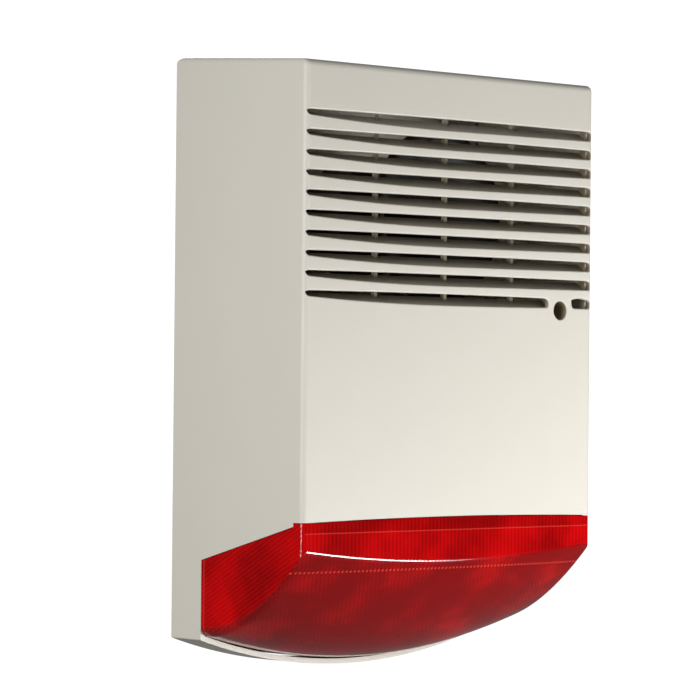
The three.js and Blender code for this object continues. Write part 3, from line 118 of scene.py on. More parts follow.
LENS_TOP = -75
LENS_TOP_BOW = 1.5
LENS_FALL = 20.4
LENS_BAND = 14.3
CREASE_BOW = 6.7
CREASE_RADIUS = 3
LENS_WALL = 2.4
HEEL_STEP = 2.8
HEEL_BOW = 15.3
LENS_EDGE_RADIUS = 4
LENS_SEAM = 0.35
TONGUE = 5
LENS_BACK = LENS_HIGH.y - TONGUE
TONGUE_WALL = 1.8
SIDE_FACING = 0.75  # shares of a face's direction that tell the lens's sides, band and underside
BAND_FACING = -0.93
UNDER_FACING = -0.2
PRISM_PITCH = 2.6
PRISM_HEIGHT = 0.8
PRISM_LEAN = 0.8
RIB_PITCH = 2.5
RIB_HALF = 0.9
RIB_SUNK = 0.2
RIB_TALL = 0.7
SIDE_RIB_PITCH = 2.3
SIDE_RIB_LEAN = 0.55
RIM_DROP = 5.2
DOT_LINE = -99  # height of the dotted line below the crease
FIT = 0.3
OPEN_BACK = 10  # where a hollow ends, behind the wall's face
KNUCKLE_HALF = 5
PIN_HOLE = 1.3
SCREW_HOLE = 2.4
POST_RADIUS = 3.4
LENS_BOSS = 6.4
BOSS_RADIUS = 4
PILOT_HOLE = 1.7
TAB = 2
TAB_HALF = 6
TAB_HOLE = 1.8

HORN_THROAT = 7
HORN_WALL = 1.8
HORN_LIP = 3
HORN_ROLL = ((-0.9, 0), (-0.25, 0.25), (0, 0.9), (-0.25, 1.55), (-0.9, 1.8))  # (out, back)
HORN_FLANGE = 2.6
DRIVER_RADIUS = 28

RESISTOR_COUNT = 4
RESISTOR_STEP = 12
RESISTOR_X = -80
RESISTOR_Z = -41.5
RESISTOR_LENGTH = 6.3
RESISTOR_RADIUS = 1.2
RESISTOR_WIRE = 0.3

FAR = 400  # beyond every face


def roof_z(y):
    at_hinge = PIN_Z + HINGE_RADIUS * math.hypot(1, ROOF_SLOPE)
    return at_hinge + ROOF_SLOPE * (y - PIN_Y)


SLOT_TOP_Z = roof_z(FRONT) - SLOT_DROP
BOTTOM_RADIUS = (HALF ** 2 + BOTTOM_BOW ** 2) / (2 * BOTTOM_BOW)

# ---------------------------------------------------------------- mesh helpers


def placed(name, points, faces):
    """A mesh object from points in millimetres, its faces turned outwards."""
    mesh = bpy.data.meshes.new(name)
    mesh.from_pydata([tuple(MM * float(c) for c in p) for p in points], [], faces)
    work = bmesh.new()
    work.from_mesh(mesh)
    bmesh.ops.remove_doubles(work, verts=work.verts, dist=1e-8)
    bmesh.ops.recalc_face_normals(work, faces=work.faces)
    work.to_mesh(mesh)
    work.free()
    thing = bpy.data.objects.new(name, mesh)
    bpy.context.scene.collection.objects.link(thing)
    return thing


def stacked(name, rings):
    """A closed solid skinned over rings of equal length, its first and last ring capped."""
    count = len(rings[0])
    points = [p for ring in rings for p in ring]
    faces = [tuple(range(count)), tuple(range(len(points) - count, len(points)))]
    for j in range(len(rings) - 1):
        for i in range(count):
            k = (i + 1) % count
            faces.append((j * count + i, j * count + k, (j + 1) * count + k, (j + 1) * count + i))
    return placed(name, points, faces)


def bar_x(name, profile, x0, x1):
    return stacked(name, [[(x, y, z) for y, z in profile] for x in (x0, x1)])


def rod_y(name, radius, y0, y1, x, z, sides=48):
    turns = [2 * math.pi * i / sides for i in range(sides)]
    ring = [(x + radius * math.cos(a), z + radius * math.sin(a)) for a in turns]
    return stacked(name, [[(px, y, pz) for px, pz in ring] for y in (y0, y1)])


def rod_x(name, radius, x0, x1, y, z, sides=32):
    turns = [2 * math.pi * i / sides for i in range(sides)]
    ring = [(y + radius * math.cos(a), z + radius * math.sin(a)) for a in turns]
    return bar_x(name, ring, x0, x1)


def turned_y(name, profile, x, z, sides=96):
    """A ring of (radius, y) points turned about a line along Y."""
    turns = [2 * math.pi * k / sides for k in range(sides)]
    points = [(x + r * math.cos(a), y, z + r * math.sin(a)) for a in turns for r, y in profile]
    n = len(profile)
    faces = []
    for k in range(sides):
        here, there = k * n, (k + 1) % sides * n
        for i in range(n):
            j = (i + 1) % n
            faces.append((here + i, here + j, there + j, there + i))
    return placed(name, points, faces)


def block(name, x0, x1, y0, y1, z0, z1):
    return bar_x(name, [(y0, z0), (y1, z0), (y1, z1), (y0, z1)], x0, x1)


def settled(thing):
    """The modifiers' result becomes the object's own plain mesh."""
    bpy.context.view_layer.update()
    graph = bpy.context.evaluated_depsgraph_get()
    mesh = bpy.data.meshes.new_from_object(thing.evaluated_get(graph), depsgraph=graph)
    thing.modifiers.clear()
    thing.data = mesh
    return thing


def carved(thing, operation, *tools):
    """Joins, cuts or keeps the common part of closed solids, one after the other."""
    for tool in tools:
        step = thing.modifiers.new("carve", "BOOLEAN")
        step.operation = operation
        step.solver = "MANIFOLD"
        step.object = tool
        settled(thing)
        bpy.data.objects.remove(tool)
    return thing


def copy_of(thing, name):
    made = bpy.data.objects.new(name, thing.data.copy())
    bpy.context.scene.collection.objects.link(made)
    return made


def smoothed(thing, angle=35):
    """Rounds stay smooth, flats stay flat and true edges stay crisp."""
    thing.data.shade_smooth()
    thing.data.set_sharp_from_angle(angle=math.radians(angle))
    weigh = thing.modifiers.new("weigh", "WEIGHTED_NORMAL")
    weigh.keep_sharp = True
    weigh.weight = 100
    return settled(thing)


# ---------------------------------------------------------------- geometry trees


def node(tree, kind, inputs=(), **settings):
    """Adds a node; each input is linked where a socket is given and set where a value is."""
    made = tree.nodes.new(kind)
    for name, value in settings.items():
        setattr(made, name, value)
    for socket, value in dict(inputs).items():
        if isinstance(value, bpy.types.NodeSocket):
            tree.links.new(value, made.inputs[socket])
        else:
            made.inputs[socket].default_value = value
    return made


def geometry_tree(name, sockets):
    """An empty tree with a geometry input, the named inputs and a geometry output."""
    tree = bpy.data.node_groups.new(name, "GeometryNodeTree")
    tree.interface.new_socket("Geometry", in_out="INPUT", socket_type="NodeSocketGeometry")
    for label, kind in sockets.items():
        tree.interface.new_socket(label, in_out="INPUT", socket_type=kind)
    tree.interface.new_socket("Geometry", in_out="OUTPUT", socket_type="NodeSocketGeometry")
    return tree, node(tree, "NodeGroupInput").outputs


def row_tree(name, operation):
    """A row of equal copies, cut out of the body or grown onto it."""
    tree, given = geometry_tree(name, {
        "Copy": "NodeSocketObject",
        "Count": "NodeSocketInt",
        "Step": "NodeSocketVector",
        "Material": "NodeSocketMaterial",
    })
    line = node(tree, "GeometryNodeMeshLine", {"Count": given["Count"], "Offset": given["Step"]})
    copy = node(tree, "GeometryNodeObjectInfo", {"Object": given["Copy"]})
    placed_row = node(tree, "GeometryNodeInstanceOnPoints", {
        "Points": line.outputs["Mesh"], "Instance": copy.outputs["Geometry"]})
    real = node(tree, "GeometryNodeRealizeInstances", {"Geometry": placed_row.outputs[0]})
    carve = node(tree, "GeometryNodeMeshBoolean", operation=operation, solver="MANIFOLD")
    if operation == "DIFFERENCE":
        tree.links.new(given["Geometry"], carve.inputs["Mesh 1"])
    else:
        tree.links.new(given["Geometry"], carve.inputs["Mesh 2"])
    tree.links.new(real.outputs[0], carve.inputs["Mesh 2"])
    painted = node(tree, "GeometryNodeSetMaterial", {
        "Geometry": carve.outputs["Mesh"], "Material": given["Material"]})
    node(tree, "NodeGroupOutput", {"Geometry": painted.outputs[0]})
    return tree


def component_tree():
    """A row of equal small components on a board."""
    tree, given = geometry_tree("component_row", {
        "Count": "NodeSocketInt", "Step": "NodeSocketVector", "Material": "NodeSocketMaterial"})
    line = node(tree, "GeometryNodeMeshLine", {"Count": given["Count"], "Offset": given["Step"]})
    row = node(tree, "GeometryNodeInstanceOnPoints", {
        "Points": line.outputs["Mesh"], "Instance": given["Geometry"]})
    real = node(tree, "GeometryNodeRealizeInstances", {"Geometry": row.outputs[0]})
    painted_row = node(tree, "GeometryNodeSetMaterial", {
        "Geometry": real.outputs[0], "Material": given["Material"]})
    node(tree, "NodeGroupOutput", {"Geometry": painted_row.outputs[0]})
    return tree


def run_tree(thing, tree, values):
    """Runs a geometry tree on an object with its named inputs set."""
    step = thing.modifiers.new(tree.name, "NODES")
    step.node_group = tree
    for item in tree.interface.items_tree:
        if item.in_out == "INPUT" and item.name in values:
            step[item.identifier] = values[item.name]
    return settled(thing)


# ---------------------------------------------------------------- finishes

RECESS = 14  # how near another wall must be for painted shade to fall
SHADE_FROM, SHADE_FULL, SHADE_MOST = 0.72, 0.38, 0.93  # open share where painted shade starts and is darkest
WORN_EDGE = 0.6
WEAR_FROM, WEAR_FULL, WEAR_MOST = 0.99, 0.75, 0.5  # turn of the edge where it starts and is most


def linear(colour):
    """An sRGB hex colour as linear values."""
    parts = [int(colour[i:i + 2], 16) / 255 for i in (0, 2, 4)]
    turned = [c / 12.92 if c <= 0.04045 else ((c + 0.055) / 1.055) ** 2.4 for c in parts]
    return (*turned, 1)


def surface(name, colour, other, grain, relief, roughness, worn=None, patch=30, recess_shade=None,
            **shader_values):
    """A finish: fine grain (mm), cloudy colour, uneven gloss, worn edges and painted shade in
    recesses.
    """
    made = bpy.data.materials.new(name)
    made.use_nodes = True
    tree = made.node_tree
    tree.nodes.clear()
    where = node(tree, "ShaderNodeTexCoord").outputs["Object"]
    fine = node(tree, "ShaderNodeTexNoise",
                {"Vector": where, "Scale": 1 / (grain * MM), "Detail": 3, "Roughness": 0.6})
    broad = node(tree, "ShaderNodeTexNoise",
                 {"Vector": where, "Scale": 1 / (patch * MM), "Detail": 4, "Roughness": 0.55})
    blend = node(tree, "ShaderNodeMath", {0: fine.outputs["Fac"], 1: 0.35}, operation="MULTIPLY")
    mixed = node(tree, "ShaderNodeMath",
                 {0: broad.outputs["Fac"], 1: 0.65, 2: blend.outputs[0]}, operation="MULTIPLY_ADD")
    tone = node(tree, "ShaderNodeMix", {
        "Factor": mixed.outputs[0], 6: linear(colour), 7: linear(other)}, data_type="RGBA")
    colour_out = tone.outputs[2]
    if worn:
        round_normal = node(tree, "ShaderNodeBevel", {"Radius": WORN_EDGE * MM}, samples=4)
        flat_normal = node(tree, "ShaderNodeNewGeometry")
        facing = node(tree, "ShaderNodeVectorMath", {
            0: round_normal.outputs[0], 1: flat_normal.outputs["Normal"]}, operation="DOT_PRODUCT")
        edge = node(tree, "ShaderNodeMapRange", {
            "Value": facing.outputs["Value"], "From Min": WEAR_FROM, "From Max": WEAR_FULL,
            "To Min": 0, "To Max": WEAR_MOST})
        patchy = node(tree, "ShaderNodeMath", {
            0: edge.outputs[0], 1: fine.outputs["Fac"]}, operation="MULTIPLY")
        worn_tone = node(tree, "ShaderNodeMix", {
            "Factor": patchy.outputs[0], 6: colour_out, 7: linear(worn)}, data_type="RGBA")
        colour_out = worn_tone.outputs[2]
    # Painted shade: where nearby walls close a face in, its colour turns towards the given dark
    # brown.
    if recess_shade:
        open_sky = node(tree, "ShaderNodeAmbientOcclusion", {"Distance": RECESS * MM}, samples=8)
        depth = node(tree, "ShaderNodeMapRange", {
            "Value": open_sky.outputs["AO"], "From Min": SHADE_FROM, "From Max": SHADE_FULL,
            "To Min": 0, "To Max": SHADE_MOST})
        recess_shaded = node(tree, "ShaderNodeMix", {
            "Factor": depth.outputs[0], 6: colour_out, 7: linear(recess_shade)}, data_type="RGBA")
        colour_out = recess_shaded.outputs[2]
    gloss = node(tree, "ShaderNodeMapRange", {
        "Value": mixed.outputs[0], "From Min": 0.3, "From Max": 0.7,
        "To Min": roughness[0], "To Max": roughness[1]})
    bump = node(tree, "ShaderNodeBump", {
        "Height": fine.outputs["Fac"], "Strength": 1, "Distance": relief * MM})
    shader = node(tree, "ShaderNodeBsdfPrincipled", {
        "Base Color": colour_out, "Roughness": gloss.outputs[0], "Normal": bump.outputs[0],
        **shader_values})
    node(tree, "ShaderNodeOutputMaterial", {"Surface": shader.outputs[0]})
    return made


# Moulded ABS from a spark-eroded tool: a warm light grey satin with a fine even texture.
# Its slots and the fins behind them are darkened with painted shade, a dark brown in the recesses.
COVER_ABS = surface("moulded_abs_light_grey", "dfdbd0", "d8d4c8", 0.5, 0.02, (0.38, 0.48),
                    worn="ece9e0", recess_shade="7a6c50")
# The same plastic from a plainer tool: a little darker and duller.
PLATE_ABS = surface("moulded_abs_back_plate", "d3cfc3", "cbc7ba", 0.7, 0.03, (0.5, 0.62),
                    worn="e2dfd5")
# Pressed steel, zinc plated: a cool bright metal, cloudy in small patches.
ZINC = surface("zinc_plated_steel", "b4b7ba", "9fa3a8", 0.4, 0.01, (0.25, 0.4), patch=4,
               Metallic=1)
# Compression-moulded rubber: nearly black and quite dull.
RUBBER = surface("moulded_epdm_rubber", "1c1c1c", "262625", 0.4, 0.02, (0.7, 0.85))
# Black ABS from a textured tool: dark satin, greyer where handled.
HORN_ABS = surface("moulded_black_abs", "232324", "2c2c2d", 0.5, 0.02, (0.45, 0.6), worn="444446")
# Pressed and fired powder: a rough dark grey with faint blotches.
FERRITE = surface("sintered_ferrite", "38363a", "2c2b2e", 0.5, 0.04, (0.7, 0.85), patch=6)
# Drawn wire under clear enamel: warm brown metal with a soft shine.
COPPER = surface("enamelled_copper_wire", "b06a3e", "8c4a2a", 0.3, 0.05, (0.25, 0.4), patch=3,
                 Metallic=1)
# Hot-pressed resin film: smooth amber.
FILM = surface("phenolic_film", "b8883a", "a37530", 0.6, 0.02, (0.3, 0.45), patch=8)
# Glass cloth under a green lacquer: glossy, with pale fibre at its sawn edges.
BOARD = surface("solder_masked_glass_epoxy", "1d5b36", "174a2b", 0.3, 0.02, (0.3, 0.45), patch=5,
                worn="7d9a5a")
# Moulded nylon: dark, faintly waxy, greyer at its edges.
BLACK = surface("moulded_black_nylon", "1f1f21", "29292b", 0.3, 0.02, (0.4, 0.55), worn="3c3c3e")
# Moulded nylon coloured through: an even mid green.
TERMINAL = surface("moulded_green_polyamide", "2f7d4a", "286c40", 0.4, 0.02, (0.4, 0.5))
# Moulded polyester: smooth deep blue with a soft gloss.
RELAY = surface("moulded_blue_polyester", "27507f", "1f4370", 0.4, 0.015, (0.3, 0.42))
# Wound plastic tape: shiny yellow, uneven where the layers lap.
TAPE = surface("polyester_winding_tape", "d8b136", "caa02b", 0.3, 0.02, (0.25, 0.35), patch=6)
# Moulded ABS, plain tool: a dull slate grey, scuffed pale at its corners.
BATTERY = surface("moulded_abs_battery_case", "3a3d42", "31343a", 0.6, 0.03, (0.5, 0.62),
                  worn="5a5d62")
# Plastic metallised in a vacuum: a clear mirror, barely rippled.
MIRROR = surface("vacuum_metallised_plastic", "d8dade", "cfd2d6", 2, 0.004, (0.06, 0.12), patch=12,
                 Metallic=1)
# Extruded PVC: smooth and softly shiny along its length.
RED_LEAD = surface("red_pvc_insulation", "b32020", "9c1a1a", 0.5, 0.01, (0.35, 0.45), patch=5)
BLACK_LEAD = surface("black_pvc_insulation", "1b1b1c", "252526", 0.5, 0.01, (0.35, 0.45), patch=5)
# Dipped in lacquer over ceramic: a smooth biscuit colour.
RESISTOR = surface("lacquered_resistor_ceramic", "c9ae82", "b79a6c", 0.3, 0.015, (0.3, 0.42),
                   patch=2)
# Moulded nylon, uncoloured: creamy white, faintly waxy.
WHITE = surface("moulded_white_nylon", "e6e4dc", "dcd9cf", 0.5, 0.015, (0.4, 0.5), worn="f2f0ea")


def calculator(tree):
    """A short way to add a Math node to one tree and take its result."""
    def calc(kind, *values):
        return node(tree, "ShaderNodeMath", dict(enumerate(values)), operation=kind).outputs[0]
    return calc


def prism_pattern(tree, where):
    """The prisms' lines; painted highlights along the rim line, the back edge and the dotted line;
    and the darker plain band and underside, the underside's as painted shade.
    """
    calc = calculator(tree)
    place = node(tree, "ShaderNodeSeparateXYZ", {0: where}).outputs
    normal = node(tree, "ShaderNodeNewGeometry").outputs["True Normal"]
    facing = node(tree, "ShaderNodeSeparateXYZ", {0: normal}).outputs

    def wave(line, pitch):
        return calc("SINE", calc("MULTIPLY", line, 2 * math.pi / (pitch * MM)))

    def leaning(lean, along, across):
        return calc("MULTIPLY_ADD", place[along], lean, place[across])

    crossed = calc("ADD", wave(leaning(PRISM_LEAN, "Y", "X"), PRISM_PITCH),
                   wave(leaning(-PRISM_LEAN, "Y", "X"), PRISM_PITCH))
    upright = wave(place["X"], RIB_PITCH)
    fanned = wave(leaning(SIDE_RIB_LEAN, "Y", "Z"), SIDE_RIB_PITCH)
    on_side = calc("GREATER_THAN", calc("ABSOLUTE", facing["X"]), SIDE_FACING)
    on_band = calc("LESS_THAN", facing["Y"], BAND_FACING)
    below = calc("LESS_THAN", facing["Z"], UNDER_FACING)
    lines = calc("ADD", calc("MULTIPLY", on_side, fanned),
                 calc("ADD", calc("MULTIPLY", on_band, upright),
                      calc("MULTIPLY", below, calc("MULTIPLY", crossed, 0.6))))
    # Painted highlights: a line under the plain band, one near the back edge of the sides and a
    # dotted line of glints below the crease.
    rim_z = (LENS_TOP - RIM_DROP) * MM
    rim = calc("MULTIPLY", on_band, calc("COMPARE", place["Z"], rim_z, 0.3 * MM))
    glint_dots = calc("MULTIPLY", calc("MAXIMUM", on_band, below),
                calc("MULTIPLY", calc("COMPARE", place["Z"], DOT_LINE * MM, 0.5 * MM),
                     calc("GREATER_THAN", upright, 0.1)))
    edge = calc("MULTIPLY", on_side, calc("COMPARE", place["Y"], (LENS_BACK - 2) * MM, 0.5 * MM))
    faint = calc("MULTIPLY", calc("MAXIMUM", rim, edge), 0.45)
    painted_highlights = calc("MAXIMUM", faint, calc("MULTIPLY", glint_dots, 0.8))
    # Darker colour: painted shade on the underside, and a darker plain band above the rim line.
    plain_top = calc("MULTIPLY", on_band, calc("GREATER_THAN", place["Z"], rim_z))
    shade = calc("ADD", calc("MULTIPLY", plain_top, 0.25), calc("MULTIPLY", below, 0.4))
    return lines, painted_highlights, shade


def red_polycarbonate():
    """Cloudy deep red lined by the prisms behind it, with painted highlights along its border
    lines, painted shade on its underside and a darker plain band.
    """
    made = bpy.data.materials.new("moulded_red_polycarbonate")
    made.use_nodes = True
    tree = made.node_tree
    tree.nodes.clear()
    where = node(tree, "ShaderNodeTexCoord").outputs["Object"]
    lines, painted_highlights, shade = prism_pattern(tree, where)
    cloud = node(tree, "ShaderNodeTexNoise", {"Vector": where, "Scale": 1 / (26 * MM), "Detail": 2})
    uneven = node(tree, "ShaderNodeMapRange", {
        "Value": cloud.outputs["Fac"], "From Min": 0.3, "From Max": 0.7,
        "To Min": 0.1, "To Max": 0.8})
    shaded = node(tree, "ShaderNodeMath", {0: uneven.outputs[0], 1: shade}, operation="SUBTRACT")
    ribbed = node(tree, "ShaderNodeMath", {0: lines, 1: 0.17, 2: shaded.outputs[0]},
                  operation="MULTIPLY_ADD", use_clamp=True)
    tone = node(tree, "ShaderNodeMix", {
        "Factor": ribbed.outputs[0], 6: linear("9c0003"), 7: linear("fb070c")}, data_type="RGBA")
    # Painted highlights: the border lines and dots turn a bright orange red.
    bright = node(tree, "ShaderNodeMix", {
        "Factor": painted_highlights, 6: tone.outputs[2], 7: linear("ff4a3c")}, data_type="RGBA")
    bump = node(tree, "ShaderNodeBump", {"Height": lines, "Strength": 0.2, "Distance": 0.04 * MM})
    shader = node(tree, "ShaderNodeBsdfPrincipled", {
        "Base Color": bright.outputs[2], "Roughness": 0.08, "Normal": bump.outputs[0],
        "Transmission Weight": 0.3, "IOR": 1.585, "Specular IOR Level": 0.3})
    node(tree, "ShaderNodeOutputMaterial", {"Surface": shader.outputs[0]})
    return made


# Moulded polycarbonate, dyed right through: a glossy deep red, lined by the prisms behind it, with
# painted highlights and painted shade in its colour.
LENS_RED = red_polycarbonate()
# Drawn quartz tube: clear, colourless and very smooth.
GLASS = surface("quartz_glass", "eef2f5", "e8edf2", 1.0, 0.002, (0.02, 0.05),
                **{"Transmission Weight": 0.9, "IOR": 1.46})

# ---------------------------------------------------------------- the cover's body


def bowed_bottom(x, inset=0):
    radius = BOTTOM_RADIUS - inset
    return BOTTOM + BOTTOM_RADIUS - math.sqrt(radius ** 2 - x ** 2)


def cover_body(name, inset, back, steps=64):
    """The cover's outer body with all its rounds, or the same body set in by a wall."""
    half = HALF - inset
    front = FRONT + inset
    across = [half * (2 * i / steps - 1) for i in range(steps + 1)]
    rings = []
    for y in (front, back):
        low = [(x, y, bowed_bottom(x, inset)) for x in across]
        high = roof_z(y) - inset
        rings.append(low + [(half, y, high), (-half, y, high)])
    body = stacked(name, rings)
    biggest = HINGE_RADIUS
    weights = body.data.attributes.new("bevel_weight_edge", "FLOAT", "EDGE")
    points = [Vector(v.co) / MM for v in body.data.vertices]
    for edge in body.data.edges:
        a, b = (points[i] for i in edge.vertices)
        level = abs(a.z - b.z) < 1e-3 and abs(a.x - b.x) > half
        upright = abs(a.z - b.z) > half
        roof = min(a.z, b.z) > 0 and abs(a.y - b.y) > 1
        radius = 0
        if level and a.z > 0:
            radius = FRONT_TOP_RADIUS if a.y < (front + back) / 2 else HINGE_RADIUS
        elif upright:
            radius = FRONT_RADIUS if a.y < (front + back) / 2 else 0
        elif roof:
            radius = ROOF_RADIUS
        elif abs(a.y - b.y) < 1e-3 and inset == 0:
            radius = HEM_RADIUS
        elif abs(abs(a.x) - half) < 1e-3 and inset == 0:
            radius = HEM_RADIUS
        if inset:
            radius = max(radius - inset, 0)
        weights.data[edge.index].value = radius / biggest
    soften = body.modifiers.new("soften", "BEVEL")
    soften.limit_method = "WEIGHT"
    soften.width = biggest * MM
    soften.segments = 8
    soften.use_clamp_overlap = False
    return settled(body)


def lens_room(name, grow):
    """What the lens takes out of the cover, grown across the parting line by a distance."""
    fall = LENS_FALL / (LENS_BACK - FRONT)
    side = [
        (FRONT - 10, LENS_TOP + fall * 10 + grow),
        (LENS_BACK + grow, LENS_TOP - LENS_FALL + grow - fall * grow),
        (LENS_BACK + grow, -FAR),
        (FRONT - 10, -FAR),
    ]
    room = bar_x(name, side, -HALF - 1, HALF + 1)
    across = [HALF * (2 * i / 48 - 1) for i in range(49)]
    arch = [(x, LENS_TOP + grow + LENS_TOP_BOW * (1 - (x / HALF) ** 2)) for x in across]
    low = LENS_TOP + grow - 2
    ring = [(-HALF - 1, low), (-HALF - 1, arch[0][1]), *arch, (HALF + 1, arch[-1][1]),
            (HALF + 1, low)]
    crown = stacked("crown", [[(x, y, z) for x, z in ring] for y in (FRONT - 10, INNER_FRONT + 4)])
    return carved(room, "UNION", crown)


# ---------------------------------------------------------------- louvres


def curve_points(a, control, b, steps):
    """Points on a quadratic curve, its start left out."""
    found = []
    for i in range(1, steps + 1):
        t = i / steps
        found.append(tuple((1 - t) ** 2 * p + 2 * t * (1 - t) * c + t * t * q
                           for p, c, q in zip(a, control, b)))
    return found


def slot_outline(x0, x1, z, pointed):
    """A slot's edges bow apart towards the middle; its left end draws in over a long way."""
    half = SLOT_HEIGHT / 2
    swell = SLOT_CROWN
    nose = SLOT_NOSE
    ring = [(x0, z + half * 0.8)]
    if pointed:
        ring += curve_points(ring[-1], (x0, z), (x0 + nose, z - half * 0.1), 8)
        ring += curve_points(ring[-1], (x0 + 25 * nose, z - half - swell),
                             (x0 + 55 * nose, z - half - swell * 0.5), 30)
        ring += curve_points(ring[-1], (x0 + 75 * nose, z - half - swell * 0.3),
                             (x1 - nose, z - half), 30)
    else:
        ring += curve_points(ring[-1], (x0, z - half), (x0 + nose, z - half), 8)
        ring += curve_points(ring[-1], ((x0 + x1) / 2, z - half), (x1 - nose, z - half), 20)
    ring += curve_points(ring[-1], (x1, z - half), (x1, z - half * 0.3), 8)
    ring += curve_points(ring[-1], (x1, z + half), (x1 - 2 * nose, z + half), 10)
    ring += curve_points(ring[-1], ((x0 + x1) / 2, z + half + swell), (x0 + nose, z + half), 40)
    return ring


def lipped_cutter(name, ring, upper, lower, end, depth):
    """A cutter for an opening whose lips are rounded where it meets the front."""
    ring = np.array(ring)
    along = np.roll(ring, -1, 0) - np.roll(ring, 1, 0)
    out = np.stack([along[:, 1], -along[:, 0]], 1)
    out /= np.linalg.norm(out, axis=1)[:, None]
    centre = ring.mean(0)
    if np.sum((ring - centre) * out) < 0:
        out = -out
    share = np.clip(out[:, 1] * 0.5 + 0.5, 0, 1)
    reach = (lower + (upper - lower) * share) * np.abs(out[:, 1]) + end * (1 - np.abs(out[:, 1]))
    rings = []
    steps = 6
    for k in range(-1, steps + 2):
        turn = math.radians(90 * min(max(k, 0), steps) / steps)
        spread = reach * (1 - math.sin(turn))
        sink = reach * (1 - math.cos(turn))
        if k < 0:
            sink = sink * 0 - 2
        if k > steps:
            sink = sink * 0 + depth
        flat = ring + out * spread[:, None]
        rings.append([(x, FRONT + s, z) for (x, z), s in zip(flat, sink)])
    return stacked(name, rings)


def circle(radius, x, z, sides=48):
    turns = [2 * math.pi * i / sides for i in range(sides)]
    return [(x + radius * math.cos(a), z + radius * math.sin(a)) for a in turns]


def louvred(body):
    """Cuts the slots and grows the rain fins and their ribs behind them."""
    left = -HALF + SLOT_END_GAP
    right = HALF - SLOT_END_GAP
    depth = COVER_WALL + 0.3
    step = (0, 0, -SLOT_PITCH * MM)
    slot = lipped_cutter("slot", slot_outline(left, right, SLOT_TOP_Z, True), *SLOT_LIPS, depth)
    slots = row_tree("louvre_slots", "DIFFERENCE")
    given = {"Count": SLOT_COUNT - 1, "Step": step, "Material": COVER_ABS}
    run_tree(body, slots, {**given, "Copy": slot})
    last = SLOT_TOP_Z - (SLOT_COUNT - 1) * SLOT_PITCH
    for x0, x1, pointed in ((left, WELL_X - LAND_HALF, True), (WELL_X + LAND_HALF, right, False)):
        short = lipped_cutter("short_slot", slot_outline(x0, x1, last, pointed), *SLOT_LIPS, depth)
        run_tree(body, slots, {**given, "Copy": short, "Count": 1})
        bpy.data.objects.remove(short)
    bpy.data.objects.remove(slot)

    reach = HALF - COVER_WALL - FIT
    inside = INNER_FRONT + FIN_DEPTH
    foot = SLOT_TOP_Z - SLOT_HEIGHT / 2 - 0.9
    profile = [
        (INNER_FRONT - 0.5, foot - FIN_THICKNESS),
        (inside, foot + FIN_RISE - FIN_THICKNESS),
        (inside + 0.3, foot + FIN_RISE - FIN_THICKNESS / 2),
        (inside, foot + FIN_RISE),
        (INNER_FRONT - 0.5, foot),
    ]
    fins = row_tree("rain_fins", "UNION")
    fin = bar_x("fin", profile, -reach, reach)
    run_tree(body, fins, {**given, "Copy": fin})
    drop = (SLOT_COUNT - 1) * SLOT_PITCH
    lowest = bar_x("fin", [(y, z - drop) for y, z in profile], -reach, WELL_X - WELL_RADIUS - 1)
    run_tree(body, fins, {**given, "Copy": lowest, "Count": 1})
    half = RIB_THICKNESS / 2
    rib = block("rib", -RIB_SPACING - half, -RIB_SPACING + half, inside + RIB_STEP - RIB_DEPTH,
                inside + RIB_STEP, last - SLOT_HEIGHT, SLOT_TOP_Z + SLOT_HEIGHT)
    run_tree(body, fins, {**given, "Copy": rib, "Count": 3, "Step": (RIB_SPACING * MM, 0, 0)})
    for copy in (fin, lowest, rib):
        bpy.data.objects.remove(copy)
    return body


# ---------------------------------------------------------------- the cover

LENS_SCREWS = [(box_mm(f"lens_screw_{i}")[0] + box_mm(f"lens_screw_{i}")[1]) / 2 for i in (1, 2, 3)]


def knuckle(x):
    radius = HINGE_RADIUS - COVER_WALL + 0.2
    x0, x1 = x - KNUCKLE_HALF, x + KNUCKLE_HALF
    barrel = rod_x("knuckle", radius, x0, x1, PIN_Y, PIN_Z)
    web = block("web", x0, x1, PIN_Y - radius, PIN_Y + radius, PIN_Z, roof_z(PIN_Y) - 1)
    return carved(barrel, "UNION", web)


def front_cover():
    """The hollow cover: louvres, hinge knuckles, screw well, tamper post and lens bosses."""
    body = cover_body("cover", 0, BACK)
    carved(body, "DIFFERENCE", cover_body("hollow", COVER_WALL, OPEN_BACK), lens_room("room", 0))
    louvred(body)
    well_floor = FRONT + WELL_DEPTH
    tamper_face = PLUNGER_LOW.y - FIT
    grown = [
        knuckle(-HINGE_X),
        knuckle(HINGE_X),
        rod_y("well", WELL_RADIUS + WELL_WALL, FRONT + 1, well_floor + COVER_WALL, WELL_X, WELL_Z),
        rod_y("post", POST_RADIUS, FRONT + 1, tamper_face, TAMPER_X, TAMPER_Z),
        block("web", TAMPER_X - 1, TAMPER_X + 1, FRONT + 1, -60, TAMPER_Z - 9, TAMPER_Z + 9),
        *[rod_y("boss", BOSS_RADIUS, FRONT + 1, INNER_FRONT + LENS_BOSS, p.x, p.z)
          for p in LENS_SCREWS],
    ]
    carved(body, "UNION", *grown)
    bores = [
        lipped_cutter("bore", circle(WELL_RADIUS, WELL_X, WELL_Z), 0.5, 0.5, 0.5, WELL_DEPTH),
        rod_y("hole", SCREW_HOLE, FRONT, 0, WELL_X, WELL_Z),
        *[rod_x("pin", PIN_HOLE, x - 6, x + 6, PIN_Y, PIN_Z) for x in (-HINGE_X, HINGE_X)],
        *[rod_y("pilot", PILOT_HOLE, INNER_FRONT + 1, 0, p.x, p.z) for p in LENS_SCREWS],
    ]
    carved(body, "DIFFERENCE", *bores)
    return smoothed(body)


# ---------------------------------------------------------------- the strobe lens

UNDERSIDE = ((0, 0), (0.21, 0.45), (0.57, 1.0), (1, 1))


